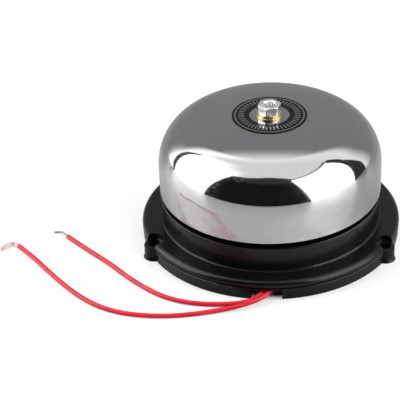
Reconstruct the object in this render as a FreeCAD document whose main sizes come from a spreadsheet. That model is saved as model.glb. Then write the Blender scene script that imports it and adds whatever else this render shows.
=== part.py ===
"""Under-dome electric bell: a pressed steel gong over a moulded base with a push solenoid inside.

Millimetres. The origin is the centre of the base's underside and +Z goes up the bell's axis. The
lead wires leave at the front, towards -Y, and the striker moves along +X to hit the gong's wall.
"""
import FreeCAD, Part
import math
import os
import re

import Sketcher

# ---------------------------------------------------------------- driving dimensions
SIZES = {
    # gong: a pressed dome with a near-upright side, a round shoulder and a low crown
    "dome_radius": 49.0,
    "dome_wall": 1.2,
    "dome_rim_inset": 0.2,
    "dome_side": 13.0,
    "shoulder_radius": 20.0,
    "crown_rise": 2.25,
    "crown_land": 9.7,
    "dome_hole": 2.8,
    "rim_gap": 2.75,
    # base: skirt, shadow groove, flange tier, drum and the raised core under the gong
    "drum_inset": 0.5,
    "drum_draft": 0.2,
    "drum_height": 11.4,
    "drum_wall": 2.6,
    "flange_width": 8.9,
    "flange_wall": 2.2,
    "tier_height": 2.6,
    "tier_round": 2.1,
    "groove_height": 0.7,
    "groove_depth": 1.6,
    "skirt_height": 5.5,
    "skirt_draft": 0.4,
    "skirt_wall": 3.6,
    "edge_round": 0.4,
    "foot_round": 0.8,
    "deck_wall": 2.2,
    "core_gap": 9.8,
    "core_wall": 2.0,
    "core_draft": 0.8,
    "core_round": 2.5,
    "roof_wall": 2.4,
    "stud_boss_radius": 8.0,
    "stud_boss_height": 2.0,
    # screw lugs round the base, and the notch that lets the leads out
    "lug_angle": 65.0,
    "lug_inset": 1.3,
    "lug_radius": 4.1,
    "lug_flare": 0.5,
    "lug_flare_height": 1.4,
    "lug_height": 6.2,
    "lug_hole": 2.25,
    "pocket_margin": 0.5,
    "notch_width": 13.0,
    "notch_height": 5.0,
    # back cover and its screws
    "fit_gap": 0.2,
    "cover_recess": 0.3,
    "cover_plate": 1.8,
    "cover_rim_wall": 2.4,
    "slot_width": 7.0,
    "slot_offset": 1.7,
    "screw_boss_radius": 3.4,
    "screw_boss_inset": 0.6,
    "screw_shank": 1.45,
    "screw_head": 2.9,
    "screw_head_height": 1.1,
    "screw_length": 8.0,
    "screw_recess": 0.9,
    "thread_gap": 0.05,
    # centre stud, its nuts and the washers that hold the gong
    "stud_radius": 2.5,
    "stud_head_width": 8.0,
    "stud_head_height": 3.0,
    "stud_sink": 0.6,
    "nut_width": 9.0,
    "nut_height": 3.7,
    "nut_turn": 15.3,
    "thin_nut_height": 2.7,
    "washer_radius": 5.8,
    "washer_height": 0.7,
    "spring_washer_radius": 5.1,
    "spring_washer_height": 1.0,
    "spring_washer_split": 0.8,
    "support_washer_height": 1.0,
    "label_hole": 8.8,
    "label_radius": 16.4,
    "label_thickness": 0.2,
    # solenoid: frame, bobbin, winding, pole and plunger on one axis
    "strike_height": 4.2,
    "frame_plate": 2.0,
    "frame_width": 22.0,
    "leg_drop": 1.2,
    "coil_headroom": 0.7,
    "bobbin_wall": 0.9,
    "bobbin_flange": 1.4,
    "flange_rise": 0.6,
    "winding_depth": 3.2,
    "tape_depth": 0.4,
    "plunger_radius": 4.8,
    "plunger_overhang": 7.0,
    "plunger_set_back": 3.0,
    "slide_gap": 0.3,
    "running_gap": 0.05,
    "air_gap": 0.7,
    "pole_gap": 0.1,
    "spigot_radius": 3.5,
    "rivet_radius": 4.3,
    "rivet_height": 0.8,
    # striker, return spring, guide bush and rear buffer
    "strike_gap": 3.0,
    "strike_clearance": 0.2,
    "rod_radius": 1.5,
    "tip_radius": 3.0,
    "tip_length": 4.3,
    "tip_socket": 2.5,
    "tip_round": 1.4,
    "collar_gap": 2.1,
    "collar_radius": 3.3,
    "collar_height": 0.8,
    "spring_length": 6.9,
    "spring_radius": 2.4,
    "spring_wire": 0.25,
    "spring_turns": 4.5,
    "bush_radius": 2.6,
    "bush_flange_radius": 4.0,
    "bush_flange_height": 1.4,
    "bush_seat": 5.0,
    "bush_boss_radius": 6.0,
    "stop_gap": 0.1,
    "buffer_radius": 3.0,
    "buffer_length": 5.1,
    "buffer_stand": 2.9,
    "buffer_boss_radius": 5.0,
    # terminal board, diode and the clamp on the leads
    "board_length": 22.0,
    "board_depth": 14.0,
    "board_thickness": 1.5,
    "board_front": 34.0,
    "board_post_height": 2.2,
    "board_post_radius": 2.4,
    "board_screw_spacing": 17.0,
    "small_shank": 1.1,
    "small_head": 2.1,
    "small_head_height": 1.3,
    "small_screw_length": 3.2,
    "tag_spacing": 5.2,
    "tag_width": 3.0,
    "tag_thickness": 0.6,
    "tag_length": 3.6,
    "tag_ear": 2.4,
    "diode_radius": 1.35,
    "diode_length": 4.2,
    "diode_lead": 0.4,
    "clamp_inset": 3.6,
    "clamp_length": 16.0,
    "clamp_depth": 4.4,
    "clamp_thickness": 1.6,
    "clamp_screw_spacing": 11.0,
    # wires
    "lead_diameter": 2.1,
    "lead_lift": 0.05,
    "strand_diameter": 0.9,
    "fan_thickness": 1.1,
    "coil_lead_diameter": 1.0,
    "coil_lead_reach": 2.6,
    "anchor_length": 16.0,
    "anchor_width": 7.0,
    "anchor_height": 1.6,
}

# ---------------------------------------------------------------- places worked out from them
FLANGE_TOP = "(skirt_height + groove_height + tier_height)"
DRUM_TOP = f"({FLANGE_TOP} + drum_height)"
DECK_UNDER = f"({DRUM_TOP} - deck_wall)"
RIM = f"({DRUM_TOP} + rim_gap)"
SHOULDER = f"({RIM} + dome_side)"
DOME_TOP = f"({SHOULDER} + shoulder_radius + crown_rise)"
DOME_BORE = "(dome_radius - dome_wall)"

DRUM_FOOT = "(dome_radius - drum_inset - drum_draft)"
DRUM_BORE = f"({DRUM_FOOT} - drum_wall)"
TIER = f"({DRUM_FOOT} + flange_width)"
SKIRT_FOOT = f"({TIER} - skirt_draft)"
SKIRT_BORE = f"({SKIRT_FOOT} - skirt_wall)"
FLANGE_UNDER = f"({FLANGE_TOP} - flange_wall)"
LUG_CIRCLE = f"({TIER} - lug_inset)"
CORE = f"({DOME_BORE} - core_gap)"
CORE_BORE = f"({CORE} - core_wall)"

STRIKE_AXIS = f"({RIM} + strike_height)"
BOBBIN_BORE = "(plunger_radius + slide_gap)"
TUBE = f"({BOBBIN_BORE} + bobbin_wall)"
WINDING = f"({TUBE} + winding_depth)"
TAPE = f"({WINDING} + tape_depth)"
BOBBIN_FLANGE = f"({WINDING} + flange_rise)"
HEAD_UNDER = f"({STRIKE_AXIS} + {BOBBIN_FLANGE} + coil_headroom)"
WEB_UNDER = f"({HEAD_UNDER} + stud_head_height)"
CEILING = f"({WEB_UNDER} + frame_plate)"
CORE_TOP = f"({CEILING} + roof_wall)"
STUD_BOSS_TOP = f"({CORE_TOP} + stud_boss_height)"

BUSH_SEAT = f"({CORE} - bush_seat)"
BUSH_FACE = f"({BUSH_SEAT} - bush_flange_height)"
COLLAR_FACE = f"({BUSH_FACE} - spring_length)"
COLLAR_BACK = f"({COLLAR_FACE} - collar_height)"
FRAME_OUTER = f"({COLLAR_BACK} - collar_gap - rivet_height)"
FRAME_INNER = f"({FRAME_OUTER} - frame_plate)"
TRAVEL = "(strike_gap - strike_clearance)"
TIP_END = f"({DOME_BORE} - strike_gap)"
TIP_START = f"({TIP_END} - tip_length)"
PLUNGER_FRONT = "(0 - plunger_set_back)"
PLUNGER_REAR = f"(0 - {FRAME_OUTER} - plunger_overhang)"
POLE_FACE = f"({PLUNGER_FRONT} + {TRAVEL} + air_gap)"
BUFFER_FRONT = f"({PLUNGER_REAR} - stop_gap)"
BUFFER_SEAT = f"({BUFFER_FRONT} - buffer_stand)"
BUFFER_REAR = f"({BUFFER_FRONT} - buffer_length)"

WASHER_TOP = f"({DOME_TOP} + washer_height)"
NUT_SEAT = f"({WASHER_TOP} + spring_washer_height)"
NUT_TOP = f"({NUT_SEAT} + nut_height)"
SUPPORT_TOP = f"({DOME_TOP} - dome_wall)"
SUPPORT_UNDER = f"({SUPPORT_TOP} - support_washer_height)"

COVER_TOP = "(cover_recess + cover_plate)"
COVER_RADIUS = f"({SKIRT_BORE} - fit_gap)"
SCREW_CIRCLE = f"({DRUM_BORE} - screw_boss_radius - screw_boss_inset)"
LEAD_HEIGHT = f"({COVER_TOP} + lead_diameter / 2 + lead_lift)"
BOARD_UNDER = f"({COVER_TOP} + board_post_height)"
BOARD_TOP = f"({BOARD_UNDER} + board_thickness)"
BOARD_BACK = "(board_front - board_depth)"
TAG_TOP = f"({BOARD_TOP} + tag_thickness)"
DIODE_AXIS = f"({BOARD_TOP} + diode_radius + fit_gap)"
CLAMP_CENTRE = f"({DRUM_BORE} - clamp_inset)"
CLAMP_UNDER = f"({LEAD_HEIGHT} + lead_diameter / 2 + lead_lift)"

LUG_ANGLES = ("lug_angle", "0 - lug_angle", "180")
COVER_SCREW_ANGLES = ("180", "60", "0 - 60")
ROUTE_SHARE = 0.45

# ---------------------------------------------------------------- document and spreadsheet
document = FreeCAD.newDocument("electric_bell")
sheet = document.addObject("Spreadsheet::Sheet", "Sizes")
for row, (alias, number) in enumerate(SIZES.items(), start=1):
    sheet.set(f"A{row}", alias.replace("_", " "))
    sheet.set(f"B{row}", str(number))
    sheet.setAlias(f"B{row}", alias)
probe = document.addObject("App::FeaturePython", "Probe")
document.recompute()

WORD = re.compile(r"[a-z][a-z_]*")
TURNS = {
    "X": FreeCAD.Rotation(FreeCAD.Vector(0, 1, 0), 90),
    "Y": FreeCAD.Rotation(FreeCAD.Vector(1, 0, 0), -90),
    "Z": FreeCAD.Rotation(),
}


def cells(text):
    """The expression with each size's name pointed at its cell."""
    return WORD.sub(lambda word: f"Sizes.{word[0]}" if word[0] in SIZES else word[0], text)


def bind(item, slot, text):
    item.setExpression(slot, cells(text))


def measure(text):
    """The number that an expression has now."""
    return float(probe.evalExpression(cells(text)))


def place(item, x="0", y="0", z="0", along="Z"):
    """Ties an object's place to the sheet and turns its own Z to the given direction."""
    item.Placement = FreeCAD.Placement(FreeCAD.Vector(), TURNS[along])
    for letter, text in zip("xyz", (x, y, z)):
        bind(item, f"Placement.Base.{letter}", text)


def new_body(name, several=False, **where):
    body = document.addObject("PartDesign::Body", name)
    body.Label = name
    body.AllowCompound = several
    place(body, **where)
    return body


def cylinder(body, name, radius, height, cut=False, **where):
    kind = "SubtractiveCylinder" if cut else "AdditiveCylinder"
    item = body.newObject(f"PartDesign::{kind}", name)
    bind(item, "Radius", radius)
    bind(item, "Height", height)
    place(item, **where)
    return item


def box(body, name, low, size, cut=False):
    """A block from its low corner, with its size along X, Y and Z."""
    kind = "SubtractiveBox" if cut else "AdditiveBox"
    item = body.newObject(f"PartDesign::{kind}", name)
    for slot, text in zip(("Length", "Width", "Height"), size):
        bind(item, slot, text)
    place(item, *low)
    return item


def plane_of(body, role):
    return next(item for item in body.Origin.OriginFeatures if item.Role == role)


def new_sketch(body, name, role="XZ_Plane"):
    sketch = body.newObject("Sketcher::SketchObject", name)
    sketch.AttachmentSupport = [(plane_of(body, role), "")]
    sketch.MapMode = "FlatFace"
    return sketch


def hold(sketch, line, end, x, y):
    """Holds one end of a line at a place measured from the sketch's origin."""
    for kind, axis, text in (("DistanceX", -2, x), ("DistanceY", -1, y)):
        if text == "0":
            sketch.addConstraint(Sketcher.Constraint("PointOnObject", line, end, axis))
        else:
            number = sketch.addConstraint(
                Sketcher.Constraint(kind, -1, 1, line, end, measure(text)))
            bind(sketch, f"Constraints[{number}]", text)


def join(sketch, count):
    for line in range(count):
        sketch.addConstraint(Sketcher.Constraint("Coincident", line, 2, (line + 1) % count, 1))


def outline(body, name, corners, role="XZ_Plane"):
    """A closed outline of straight lines through the corners."""
    sketch = new_sketch(body, name, role)
    points = [FreeCAD.Vector(measure(x), measure(y), 0) for x, y in corners]
    for start, end in zip(points, points[1:] + points[:1]):
        sketch.addGeometry(Part.LineSegment(start, end))
    join(sketch, len(points))
    for line, (x, y) in enumerate(corners):
        hold(sketch, line, 1, x, y)
    return sketch


def revolve(body, sketch, name, cut=False):
    kind = "Groove" if cut else "Revolution"
    item = body.newObject(f"PartDesign::{kind}", name)
    item.Profile = sketch
    item.ReferenceAxis = (sketch, ["V_Axis"])
    item.Angle = 360
    return item


def turned(name, corners, **where):
    """A lathe-turned piece from its (radius, height) corners."""
    body = new_body(name, **where)
    revolve(body, outline(body, "profile", corners), "turning")
    return body


def ring(name, bore, radius, height, **where):
    corners = [(bore, "0"), (radius, "0"), (radius, height), (bore, height)]
    return turned(name, corners, **where)


def round_edges(body, name, rings, radius):
    """Rounds the full circles about Z that have these radii and heights."""
    document.recompute()
    tip = body.Tip
    wanted = [(measure(across), measure(height)) for across, height in rings]
    names = []
    for number, edge in enumerate(tip.Shape.Edges, start=1):
        curve = edge.Curve
        if not isinstance(curve, Part.Circle) or not edge.isClosed():
            continue
        if any(math.isclose(curve.Radius, across, abs_tol=0.01)
               and math.isclose(curve.Center.z, height, abs_tol=0.01) for across, height in wanted):
            names.append(f"Edge{number}")
    if len(names) != len(wanted):
        raise RuntimeError(f"{body.Label}: {name} found {len(names)} edges, wants {len(wanted)}")
    item = body.newObject("PartDesign::Fillet", name)
    item.Base = (tip, names)
    bind(item, "Radius", radius)
    return item


def around(angle, radius):
    """X and Y of a place on a circle, with the angle counted from the front towards +X."""
    return f"({radius}) * sin(({angle}) * 1 deg)", f"0 - ({radius}) * cos(({angle}) * 1 deg)"


# ---------------------------------------------------------------- moulded base
def make_base():
    body = new_body("base_housing")
    tier_under = "(skirt_height + groove_height)"
    profile = [
        (SKIRT_FOOT, "0"),
        (TIER, "skirt_height"),
        (f"{TIER} - groove_depth", "skirt_height"),
        (f"{TIER} - groove_depth", tier_under),
        (TIER, tier_under),
        (TIER, FLANGE_TOP),
        (DRUM_FOOT, FLANGE_TOP),
        (f"{DRUM_FOOT} + drum_draft", DRUM_TOP),
        (CORE, DRUM_TOP),
        (f"{CORE} - core_draft", CORE_TOP),
        ("stud_boss_radius", CORE_TOP),
        ("stud_boss_radius", STUD_BOSS_TOP),
        ("0", STUD_BOSS_TOP),
        ("0", CEILING),
        (f"{CORE_BORE} - core_draft", CEILING),
        (CORE_BORE, DECK_UNDER),
        (DRUM_BORE, DECK_UNDER),
        (DRUM_BORE, FLANGE_UNDER),
        (SKIRT_BORE, FLANGE_UNDER),
        (SKIRT_BORE, "0"),
    ]
    revolve(body, outline(body, "wall_profile", profile), "wall")
    round_edges(body, "tier_edge", [(TIER, FLANGE_TOP)], "tier_round")
    round_edges(body, "core_edge", [(f"{CORE} - core_draft", CORE_TOP)], "core_round")
    round_edges(body, "foot_fillets", [(DRUM_FOOT, FLANGE_TOP), (CORE, DRUM_TOP)], "foot_round")
    sharp = [(SKIRT_FOOT, "0"), (TIER, "skirt_height"), (f"{DRUM_FOOT} + drum_draft", DRUM_TOP)]
    round_edges(body, "small_edges", sharp, "edge_round")

    for number, angle in enumerate(LUG_ANGLES, start=1):
        x, y = around(angle, LUG_CIRCLE)
        cylinder(body, f"lug{number}", "lug_radius", "lug_height", x=x, y=y)
        flare = body.newObject("PartDesign::AdditiveCone", f"lug_flare{number}")
        bind(flare, "Radius1", "lug_radius + lug_flare")
        bind(flare, "Radius2", "lug_radius")
        bind(flare, "Height", "lug_flare_height")
        place(flare, x=x, y=y)
    cylinder(body, "skirt_bore", SKIRT_BORE, FLANGE_UNDER, cut=True)
    for number, angle in enumerate(LUG_ANGLES, start=1):
        x, y = around(angle, LUG_CIRCLE)
        cylinder(body, f"lug_hole{number}", "lug_hole", FLANGE_TOP, cut=True, x=x, y=y)
        cylinder(body, f"lug_pocket{number}", "lug_radius + pocket_margin", FLANGE_TOP, cut=True,
                 x=x, y=y, z="lug_height")

    box(body, "lead_notch", ("0 - notch_width / 2", f"0 - {TIER} - skirt_wall", "0"),
        ("notch_width", "3 * skirt_wall", "notch_height"), cut=True)

    for number, angle in enumerate(COVER_SCREW_ANGLES, start=1):
        x, y = around(angle, SCREW_CIRCLE)
        cylinder(body, f"screw_boss{number}", "screw_boss_radius",
                 f"{DECK_UNDER} - {COVER_TOP} + fit_gap", x=x, y=y, z=COVER_TOP)
        cylinder(body, f"pilot{number}", "screw_shank + thread_gap", "screw_length", cut=True,
                 x=x, y=y, z=COVER_TOP)

    cylinder(body, "bush_boss", "bush_boss_radius", "bush_seat - core_wall / 2",
             x=BUSH_SEAT, z=STRIKE_AXIS, along="X")
    cylinder(body, "bush_hole", "bush_radius + running_gap", "2 * bush_seat", cut=True,
             x=BUSH_SEAT, z=STRIKE_AXIS, along="X")
    cylinder(body, "buffer_boss", "buffer_boss_radius", f"{BUFFER_SEAT} + {CORE} - core_wall / 2",
             x=f"core_wall / 2 - {CORE}", z=STRIKE_AXIS, along="X")
    cylinder(body, "buffer_socket", "buffer_radius + running_gap", f"{BUFFER_SEAT} - {BUFFER_REAR}",
             cut=True, x=BUFFER_REAR, z=STRIKE_AXIS, along="X")
    cylinder(body, "stud_hole", "stud_radius + fit_gap", f"{STUD_BOSS_TOP} - {CEILING}", cut=True,
             z=CEILING)
    return body


# ---------------------------------------------------------------- back cover and its screws
def make_cover():
    body = new_body("back_cover")
    inner = f"({COVER_RADIUS} - cover_rim_wall)"
    profile = [
        ("0", "cover_recess"),
        (COVER_RADIUS, "cover_recess"),
        (COVER_RADIUS, f"{FLANGE_UNDER} - fit_gap"),
        (inner, f"{FLANGE_UNDER} - fit_gap"),
        (inner, COVER_TOP),
        ("0", COVER_TOP),
    ]
    revolve(body, outline(body, "plate_profile", profile), "plate")
    box(body, "lead_slot", ("slot_offset - slot_width / 2", f"0 - {COVER_RADIUS} - fit_gap", COVER_TOP),
        ("slot_width", f"{COVER_RADIUS} - {inner} + 2 * fit_gap", FLANGE_UNDER), cut=True)
    for side, sign in (("left", "-"), ("right", "+")):
        x = f"slot_offset {sign} board_screw_spacing / 2"
        y = "0 - board_front + board_depth / 2"
        cylinder(body, f"board_post_{side}", "board_post_radius", "board_post_height",
                 x=x, y=y, z=COVER_TOP)
        cylinder(body, f"board_pilot_{side}", "small_shank + thread_gap", "small_screw_length",
                 cut=True, x=x, y=y, z=f"{BOARD_UNDER} - small_screw_length")
        x = f"slot_offset {sign} clamp_screw_spacing / 2"
        cylinder(body, f"clamp_post_{side}", "board_post_radius", f"{CLAMP_UNDER} - {COVER_TOP}",
                 x=x, y=f"0 - {CLAMP_CENTRE}", z=COVER_TOP)
        cylinder(body, f"clamp_pilot_{side}", "small_shank + thread_gap", "small_screw_length",
                 cut=True, x=x, y=f"0 - {CLAMP_CENTRE}", z=f"{CLAMP_UNDER} - small_screw_length")
    for number, angle in enumerate(COVER_SCREW_ANGLES, start=1):
        x, y = around(angle, SCREW_CIRCLE)
        cylinder(body, f"screw_hole{number}", "screw_shank + fit_gap", "cover_plate", cut=True,
                 x=x, y=y, z="cover_recess")
        cylinder(body, f"head_sink{number}", "screw_head + fit_gap", "screw_recess", cut=True,
                 x=x, y=y, z="cover_recess")
    return body


def make_screws(name, places, shank, head, head_height, length, seat, upward):
    """Pan-head screws on one seat, each a head and a shank with a cross cut in the head."""
    body = new_body(name, several=True)
    head_low = f"{seat} - {head_height}" if upward else seat
    shank_low = seat if upward else f"{seat} - {length}"
    cross_long, cross_wide, cross_deep = f"{head} * 1.2", f"{head} / 4", f"{head_height} / 2"
    cross_low = head_low if upward else f"{seat} + {cross_deep}"
    for number, (x, y) in enumerate(places, start=1):
        cylinder(body, f"head{number}", head, head_height, x=x, y=y, z=head_low)
        cylinder(body, f"shank{number}", shank, length, x=x, y=y, z=shank_low)
        for side, wide, long in (("x", cross_long, cross_wide), ("y", cross_wide, cross_long)):
            box(body, f"cross{number}{side}", (f"{x} - {wide} / 2", f"{y} - {long} / 2", cross_low),
                (wide, long, cross_deep), cut=True)
    return body


# ---------------------------------------------------------------- gong
def dome_outline(body, name, depth):
    """The gong's half section down to its rim, set in from the outer skin by the depth."""
    sketch = new_sketch(body, name)
    radius, land = f"(dome_radius - {depth})", "crown_land"
    top = f"({DOME_TOP} - {depth})"
    across, up = f"(dome_radius - shoulder_radius - {land})", "(shoulder_radius + crown_rise)"
    crown = f"(({across}^2 + {up}^2 - shoulder_radius^2) / (2 * crown_rise) - {depth})"
    shoulder = f"(shoulder_radius - {depth})"
    shoulder_centre = FreeCAD.Vector(measure("dome_radius - shoulder_radius"), measure(SHOULDER), 0)
    crown_centre = FreeCAD.Vector(measure(land), measure(f"{top} - {crown}"), 0)
    spread = shoulder_centre - crown_centre
    meet = math.atan2(spread.y, spread.x)
    up_axis = FreeCAD.Vector(0, 0, 1)
    rim_point = FreeCAD.Vector(measure(f"{radius} - dome_rim_inset"), measure(RIM), 0)
    side_point = FreeCAD.Vector(measure(radius), measure(SHOULDER), 0)
    land_point = FreeCAD.Vector(measure(land), measure(top), 0)
    axis_top = FreeCAD.Vector(0, measure(top), 0)
    axis_low = FreeCAD.Vector(0, measure(RIM), 0)

    sketch.addGeometry(Part.LineSegment(rim_point, side_point))
    sketch.addGeometry(Part.ArcOfCircle(
        Part.Circle(shoulder_centre, up_axis, measure(shoulder)), 0, meet))
    sketch.addGeometry(Part.ArcOfCircle(
        Part.Circle(crown_centre, up_axis, measure(crown)), meet, math.pi / 2))
    sketch.addGeometry(Part.LineSegment(land_point, axis_top))
    sketch.addGeometry(Part.LineSegment(axis_top, axis_low))
    sketch.addGeometry(Part.LineSegment(axis_low, rim_point))
    side, bend, cap, flat, axis, foot = range(6)
    for first, second in ((side, bend), (cap, flat), (flat, axis), (axis, foot), (foot, side)):
        sketch.addConstraint(Sketcher.Constraint("Coincident", first, 2, second, 1))
    sketch.addConstraint(Sketcher.Constraint("Tangent", bend, 2, cap, 1))
    hold(sketch, side, 1, f"{radius} - dome_rim_inset", RIM)
    hold(sketch, side, 2, radius, SHOULDER)
    hold(sketch, bend, 3, "dome_radius - shoulder_radius", SHOULDER)
    hold(sketch, flat, 1, land, top)
    hold(sketch, flat, 2, "0", top)
    hold(sketch, axis, 2, "0", RIM)
    number = sketch.addConstraint(Sketcher.Constraint("DistanceX", -1, 1, cap, 3, measure(land)))
    bind(sketch, f"Constraints[{number}]", land)
    return sketch


def make_dome():
    body = new_body("gong_dome")
    revolve(body, dome_outline(body, "outer_skin", "0"), "blank")
    revolve(body, dome_outline(body, "inner_skin", "dome_wall"), "hollow", cut=True)
    cylinder(body, "stud_hole", "dome_hole", "2 * dome_wall", cut=True,
             z=f"{DOME_TOP} - 1.5 * dome_wall")
    return body


def make_label():
    """A thin printed ring that follows the crown."""
    body = new_body("label_ring")
    revolve(body, dome_outline(body, "printed_face", "(0 - label_thickness)"), "sheet")
    revolve(body, dome_outline(body, "glued_face", "0"), "crown_under", cut=True)
    cylinder(body, "centre_hole", "label_hole", DOME_TOP, cut=True, z="dome_wall")
    beyond = [
        ("label_radius", "0"),
        ("2 * dome_radius", "0"),
        ("2 * dome_radius", f"2 * {DOME_TOP}"),
        ("label_radius", f"2 * {DOME_TOP}"),
    ]
    revolve(body, outline(body, "trim_profile", beyond), "trim", cut=True)
    return body


# ---------------------------------------------------------------- centre stud, nuts and washers
def hexagon(body, name, width, height, **where):
    item = body.newObject("PartDesign::AdditivePrism", name)
    item.Polygon = 6
    bind(item, "Circumradius", f"{width} / sqrt(3)")
    bind(item, "Height", height)
    place(item, **where)
    return item


def make_nut(name, width, height, seat, turn="0"):
    """A hexagon nut with both faces chamfered at the corners."""
    body = new_body(name, z=seat)
    body.Placement.Rotation = FreeCAD.Rotation(FreeCAD.Vector(0, 0, 1), measure(turn))
    hexagon(body, "hexagon", width, height)
    cylinder(body, "thread", "stud_radius + thread_gap", height, cut=True)
    flat, corner = f"({width} / 2)", f"({width} / sqrt(3) + thread_gap)"
    drop = f"(({corner} - {flat}) / 2)"
    for face, low, high in (("top", f"{height} - {drop}", height), ("under", drop, "0")):
        bevel = [(flat, high), (corner, high), (corner, low)]
        revolve(body, outline(body, f"{face}_bevel_profile", bevel), f"{face}_bevel", cut=True)
    return body


def make_stud():
    body = new_body("centre_stud")
    hexagon(body, "head", "stud_head_width", "stud_head_height", z=HEAD_UNDER)
    cylinder(body, "shank", "stud_radius", f"{NUT_TOP} - stud_sink - {WEB_UNDER}", z=WEB_UNDER)
    return body


def make_spring_washer():
    """A split washer, with its slit turned to the back."""
    body = new_body("spring_washer", z=WASHER_TOP)
    bore = "(stud_radius + fit_gap)"
    corners = [
        (bore, "0"),
        ("spring_washer_radius", "0"),
        ("spring_washer_radius", "spring_washer_height"),
        (bore, "spring_washer_height"),
    ]
    revolve(body, outline(body, "profile", corners), "turning")
    box(body, "split", ("0 - spring_washer_split / 2", "0", "0"),
        ("spring_washer_split", "2 * spring_washer_radius", "spring_washer_height"), cut=True)
    return body


def make_stack():
    make_stud()
    bore = "stud_radius + fit_gap"
    ring("stud_lock_washer", bore, "washer_radius", "washer_height", z=STUD_BOSS_TOP)
    make_nut("stud_lock_nut", "stud_head_width", "thin_nut_height", f"{STUD_BOSS_TOP} + washer_height")
    make_nut("dome_support_nut", "stud_head_width", "thin_nut_height",
             f"{SUPPORT_UNDER} - thin_nut_height")
    ring("dome_support_washer", bore, "washer_radius", "support_washer_height", z=SUPPORT_UNDER)
    ring("flat_washer", bore, "washer_radius", "washer_height", z=DOME_TOP)
    make_spring_washer()
    make_nut("dome_nut", "nut_width", "nut_height", NUT_SEAT, turn="nut_turn")


# ---------------------------------------------------------------- solenoid
def make_frame():
    """A bent strip of soft steel: a web under the roof and a leg at each end of the coil."""
    body = new_body("solenoid_frame")
    leg_low = f"({STRIKE_AXIS} - {BOBBIN_FLANGE} - leg_drop)"
    section = [
        (f"0 - {FRAME_OUTER}", leg_low),
        (f"0 - {FRAME_INNER}", leg_low),
        (f"0 - {FRAME_INNER}", WEB_UNDER),
        (FRAME_INNER, WEB_UNDER),
        (FRAME_INNER, leg_low),
        (FRAME_OUTER, leg_low),
        (FRAME_OUTER, CEILING),
        (f"0 - {FRAME_OUTER}", CEILING),
    ]
    pad = body.newObject("PartDesign::Pad", "strip")
    pad.Profile = outline(body, "strip_profile", section)
    pad.Midplane = True
    bind(pad, "Length", "frame_width")
    cylinder(body, "stud_hole", "stud_radius + fit_gap", "2 * frame_plate", cut=True,
             z=f"{WEB_UNDER} - frame_plate / 2")
    cylinder(body, "plunger_hole", BOBBIN_BORE, "2 * frame_plate", cut=True,
             x=f"0 - {FRAME_OUTER} - frame_plate / 2", z=STRIKE_AXIS, along="X")
    cylinder(body, "spigot_hole", "spigot_radius", "2 * frame_plate", cut=True,
             x=f"{FRAME_INNER} - frame_plate / 2", z=STRIKE_AXIS, along="X")
    return body


def make_coil():
    """Bobbin, winding and tape on the striker's axis, each with its own Z turned to +X."""
    start = {"x": f"0 - {FRAME_INNER}", "z": STRIKE_AXIS, "along": "X"}
    length = f"(2 * {FRAME_INNER})"
    bobbin = [
        (BOBBIN_BORE, "0"),
        (BOBBIN_FLANGE, "0"),
        (BOBBIN_FLANGE, "bobbin_flange"),
        (TUBE, "bobbin_flange"),
        (TUBE, f"{length} - bobbin_flange"),
        (BOBBIN_FLANGE, f"{length} - bobbin_flange"),
        (BOBBIN_FLANGE, length),
        (BOBBIN_BORE, length),
    ]
    turned("coil_bobbin", bobbin, **start)
    inner = {"x": f"bobbin_flange - {FRAME_INNER}", "z": STRIKE_AXIS, "along": "X"}
    wound = f"({length} - 2 * bobbin_flange)"
    ring("coil_winding", TUBE, WINDING, wound, **inner)
    tape = new_body("coil_tape", **inner)
    cylinder(tape, "wrap", TAPE, wound)
    box(tape, "lead_anchor", ("0", "0 - anchor_width / 2", f"({wound} - anchor_length) / 2"),
        (f"{TAPE} + anchor_height", "anchor_width", "anchor_length"))
    cylinder(tape, "wound_core", WINDING, wound, cut=True)
    pole = f"({FRAME_INNER} - {POLE_FACE})"
    bore = "(rod_radius + slide_gap)"
    core = [
        (bore, "0"),
        (f"{BOBBIN_BORE} - pole_gap", "0"),
        (f"{BOBBIN_BORE} - pole_gap", pole),
        ("spigot_radius", pole),
        ("spigot_radius", f"{pole} + frame_plate"),
        ("rivet_radius", f"{pole} + frame_plate"),
        ("rivet_radius", f"{pole} + frame_plate + rivet_height"),
        (bore, f"{pole} + frame_plate + rivet_height"),
    ]
    turned("pole_piece", core, x=POLE_FACE, z=STRIKE_AXIS, along="X")


# ---------------------------------------------------------------- striker and what guides it
def make_striker():
    axis = {"z": STRIKE_AXIS, "along": "X"}
    plunger_length = f"({PLUNGER_FRONT} - {PLUNGER_REAR})"
    body = new_body("plunger", x=PLUNGER_REAR, **axis)
    cylinder(body, "slug", "plunger_radius", plunger_length)
    rod_length = f"({TIP_START} + tip_socket - {PLUNGER_FRONT})"
    body = new_body("push_rod", x=PLUNGER_FRONT, **axis)
    cylinder(body, "rod", "rod_radius", rod_length)
    tip = [
        ("0", "tip_socket"),
        ("rod_radius", "tip_socket"),
        ("rod_radius", "0"),
        ("tip_radius", "0"),
        ("tip_radius", "tip_length"),
        ("0", "tip_length"),
    ]
    body = turned("striker_tip", tip, x=TIP_START, **axis)
    round_edges(body, "nose", [("tip_radius", "tip_length")], "tip_round")
    ring("spring_collar", "rod_radius", "collar_radius", "collar_height", x=COLLAR_BACK, **axis)
    bush = [
        ("rod_radius + running_gap", "0"),
        ("bush_flange_radius", "0"),
        ("bush_flange_radius", "bush_flange_height"),
        ("bush_radius", "bush_flange_height"),
        ("bush_radius", "bush_flange_height + bush_seat"),
        ("rod_radius + running_gap", "bush_flange_height + bush_seat"),
    ]
    turned("guide_bush", bush, x=BUSH_FACE, **axis)
    body = new_body("rear_buffer", x=BUFFER_REAR, **axis)
    cylinder(body, "pad", "buffer_radius", "buffer_length")


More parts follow.
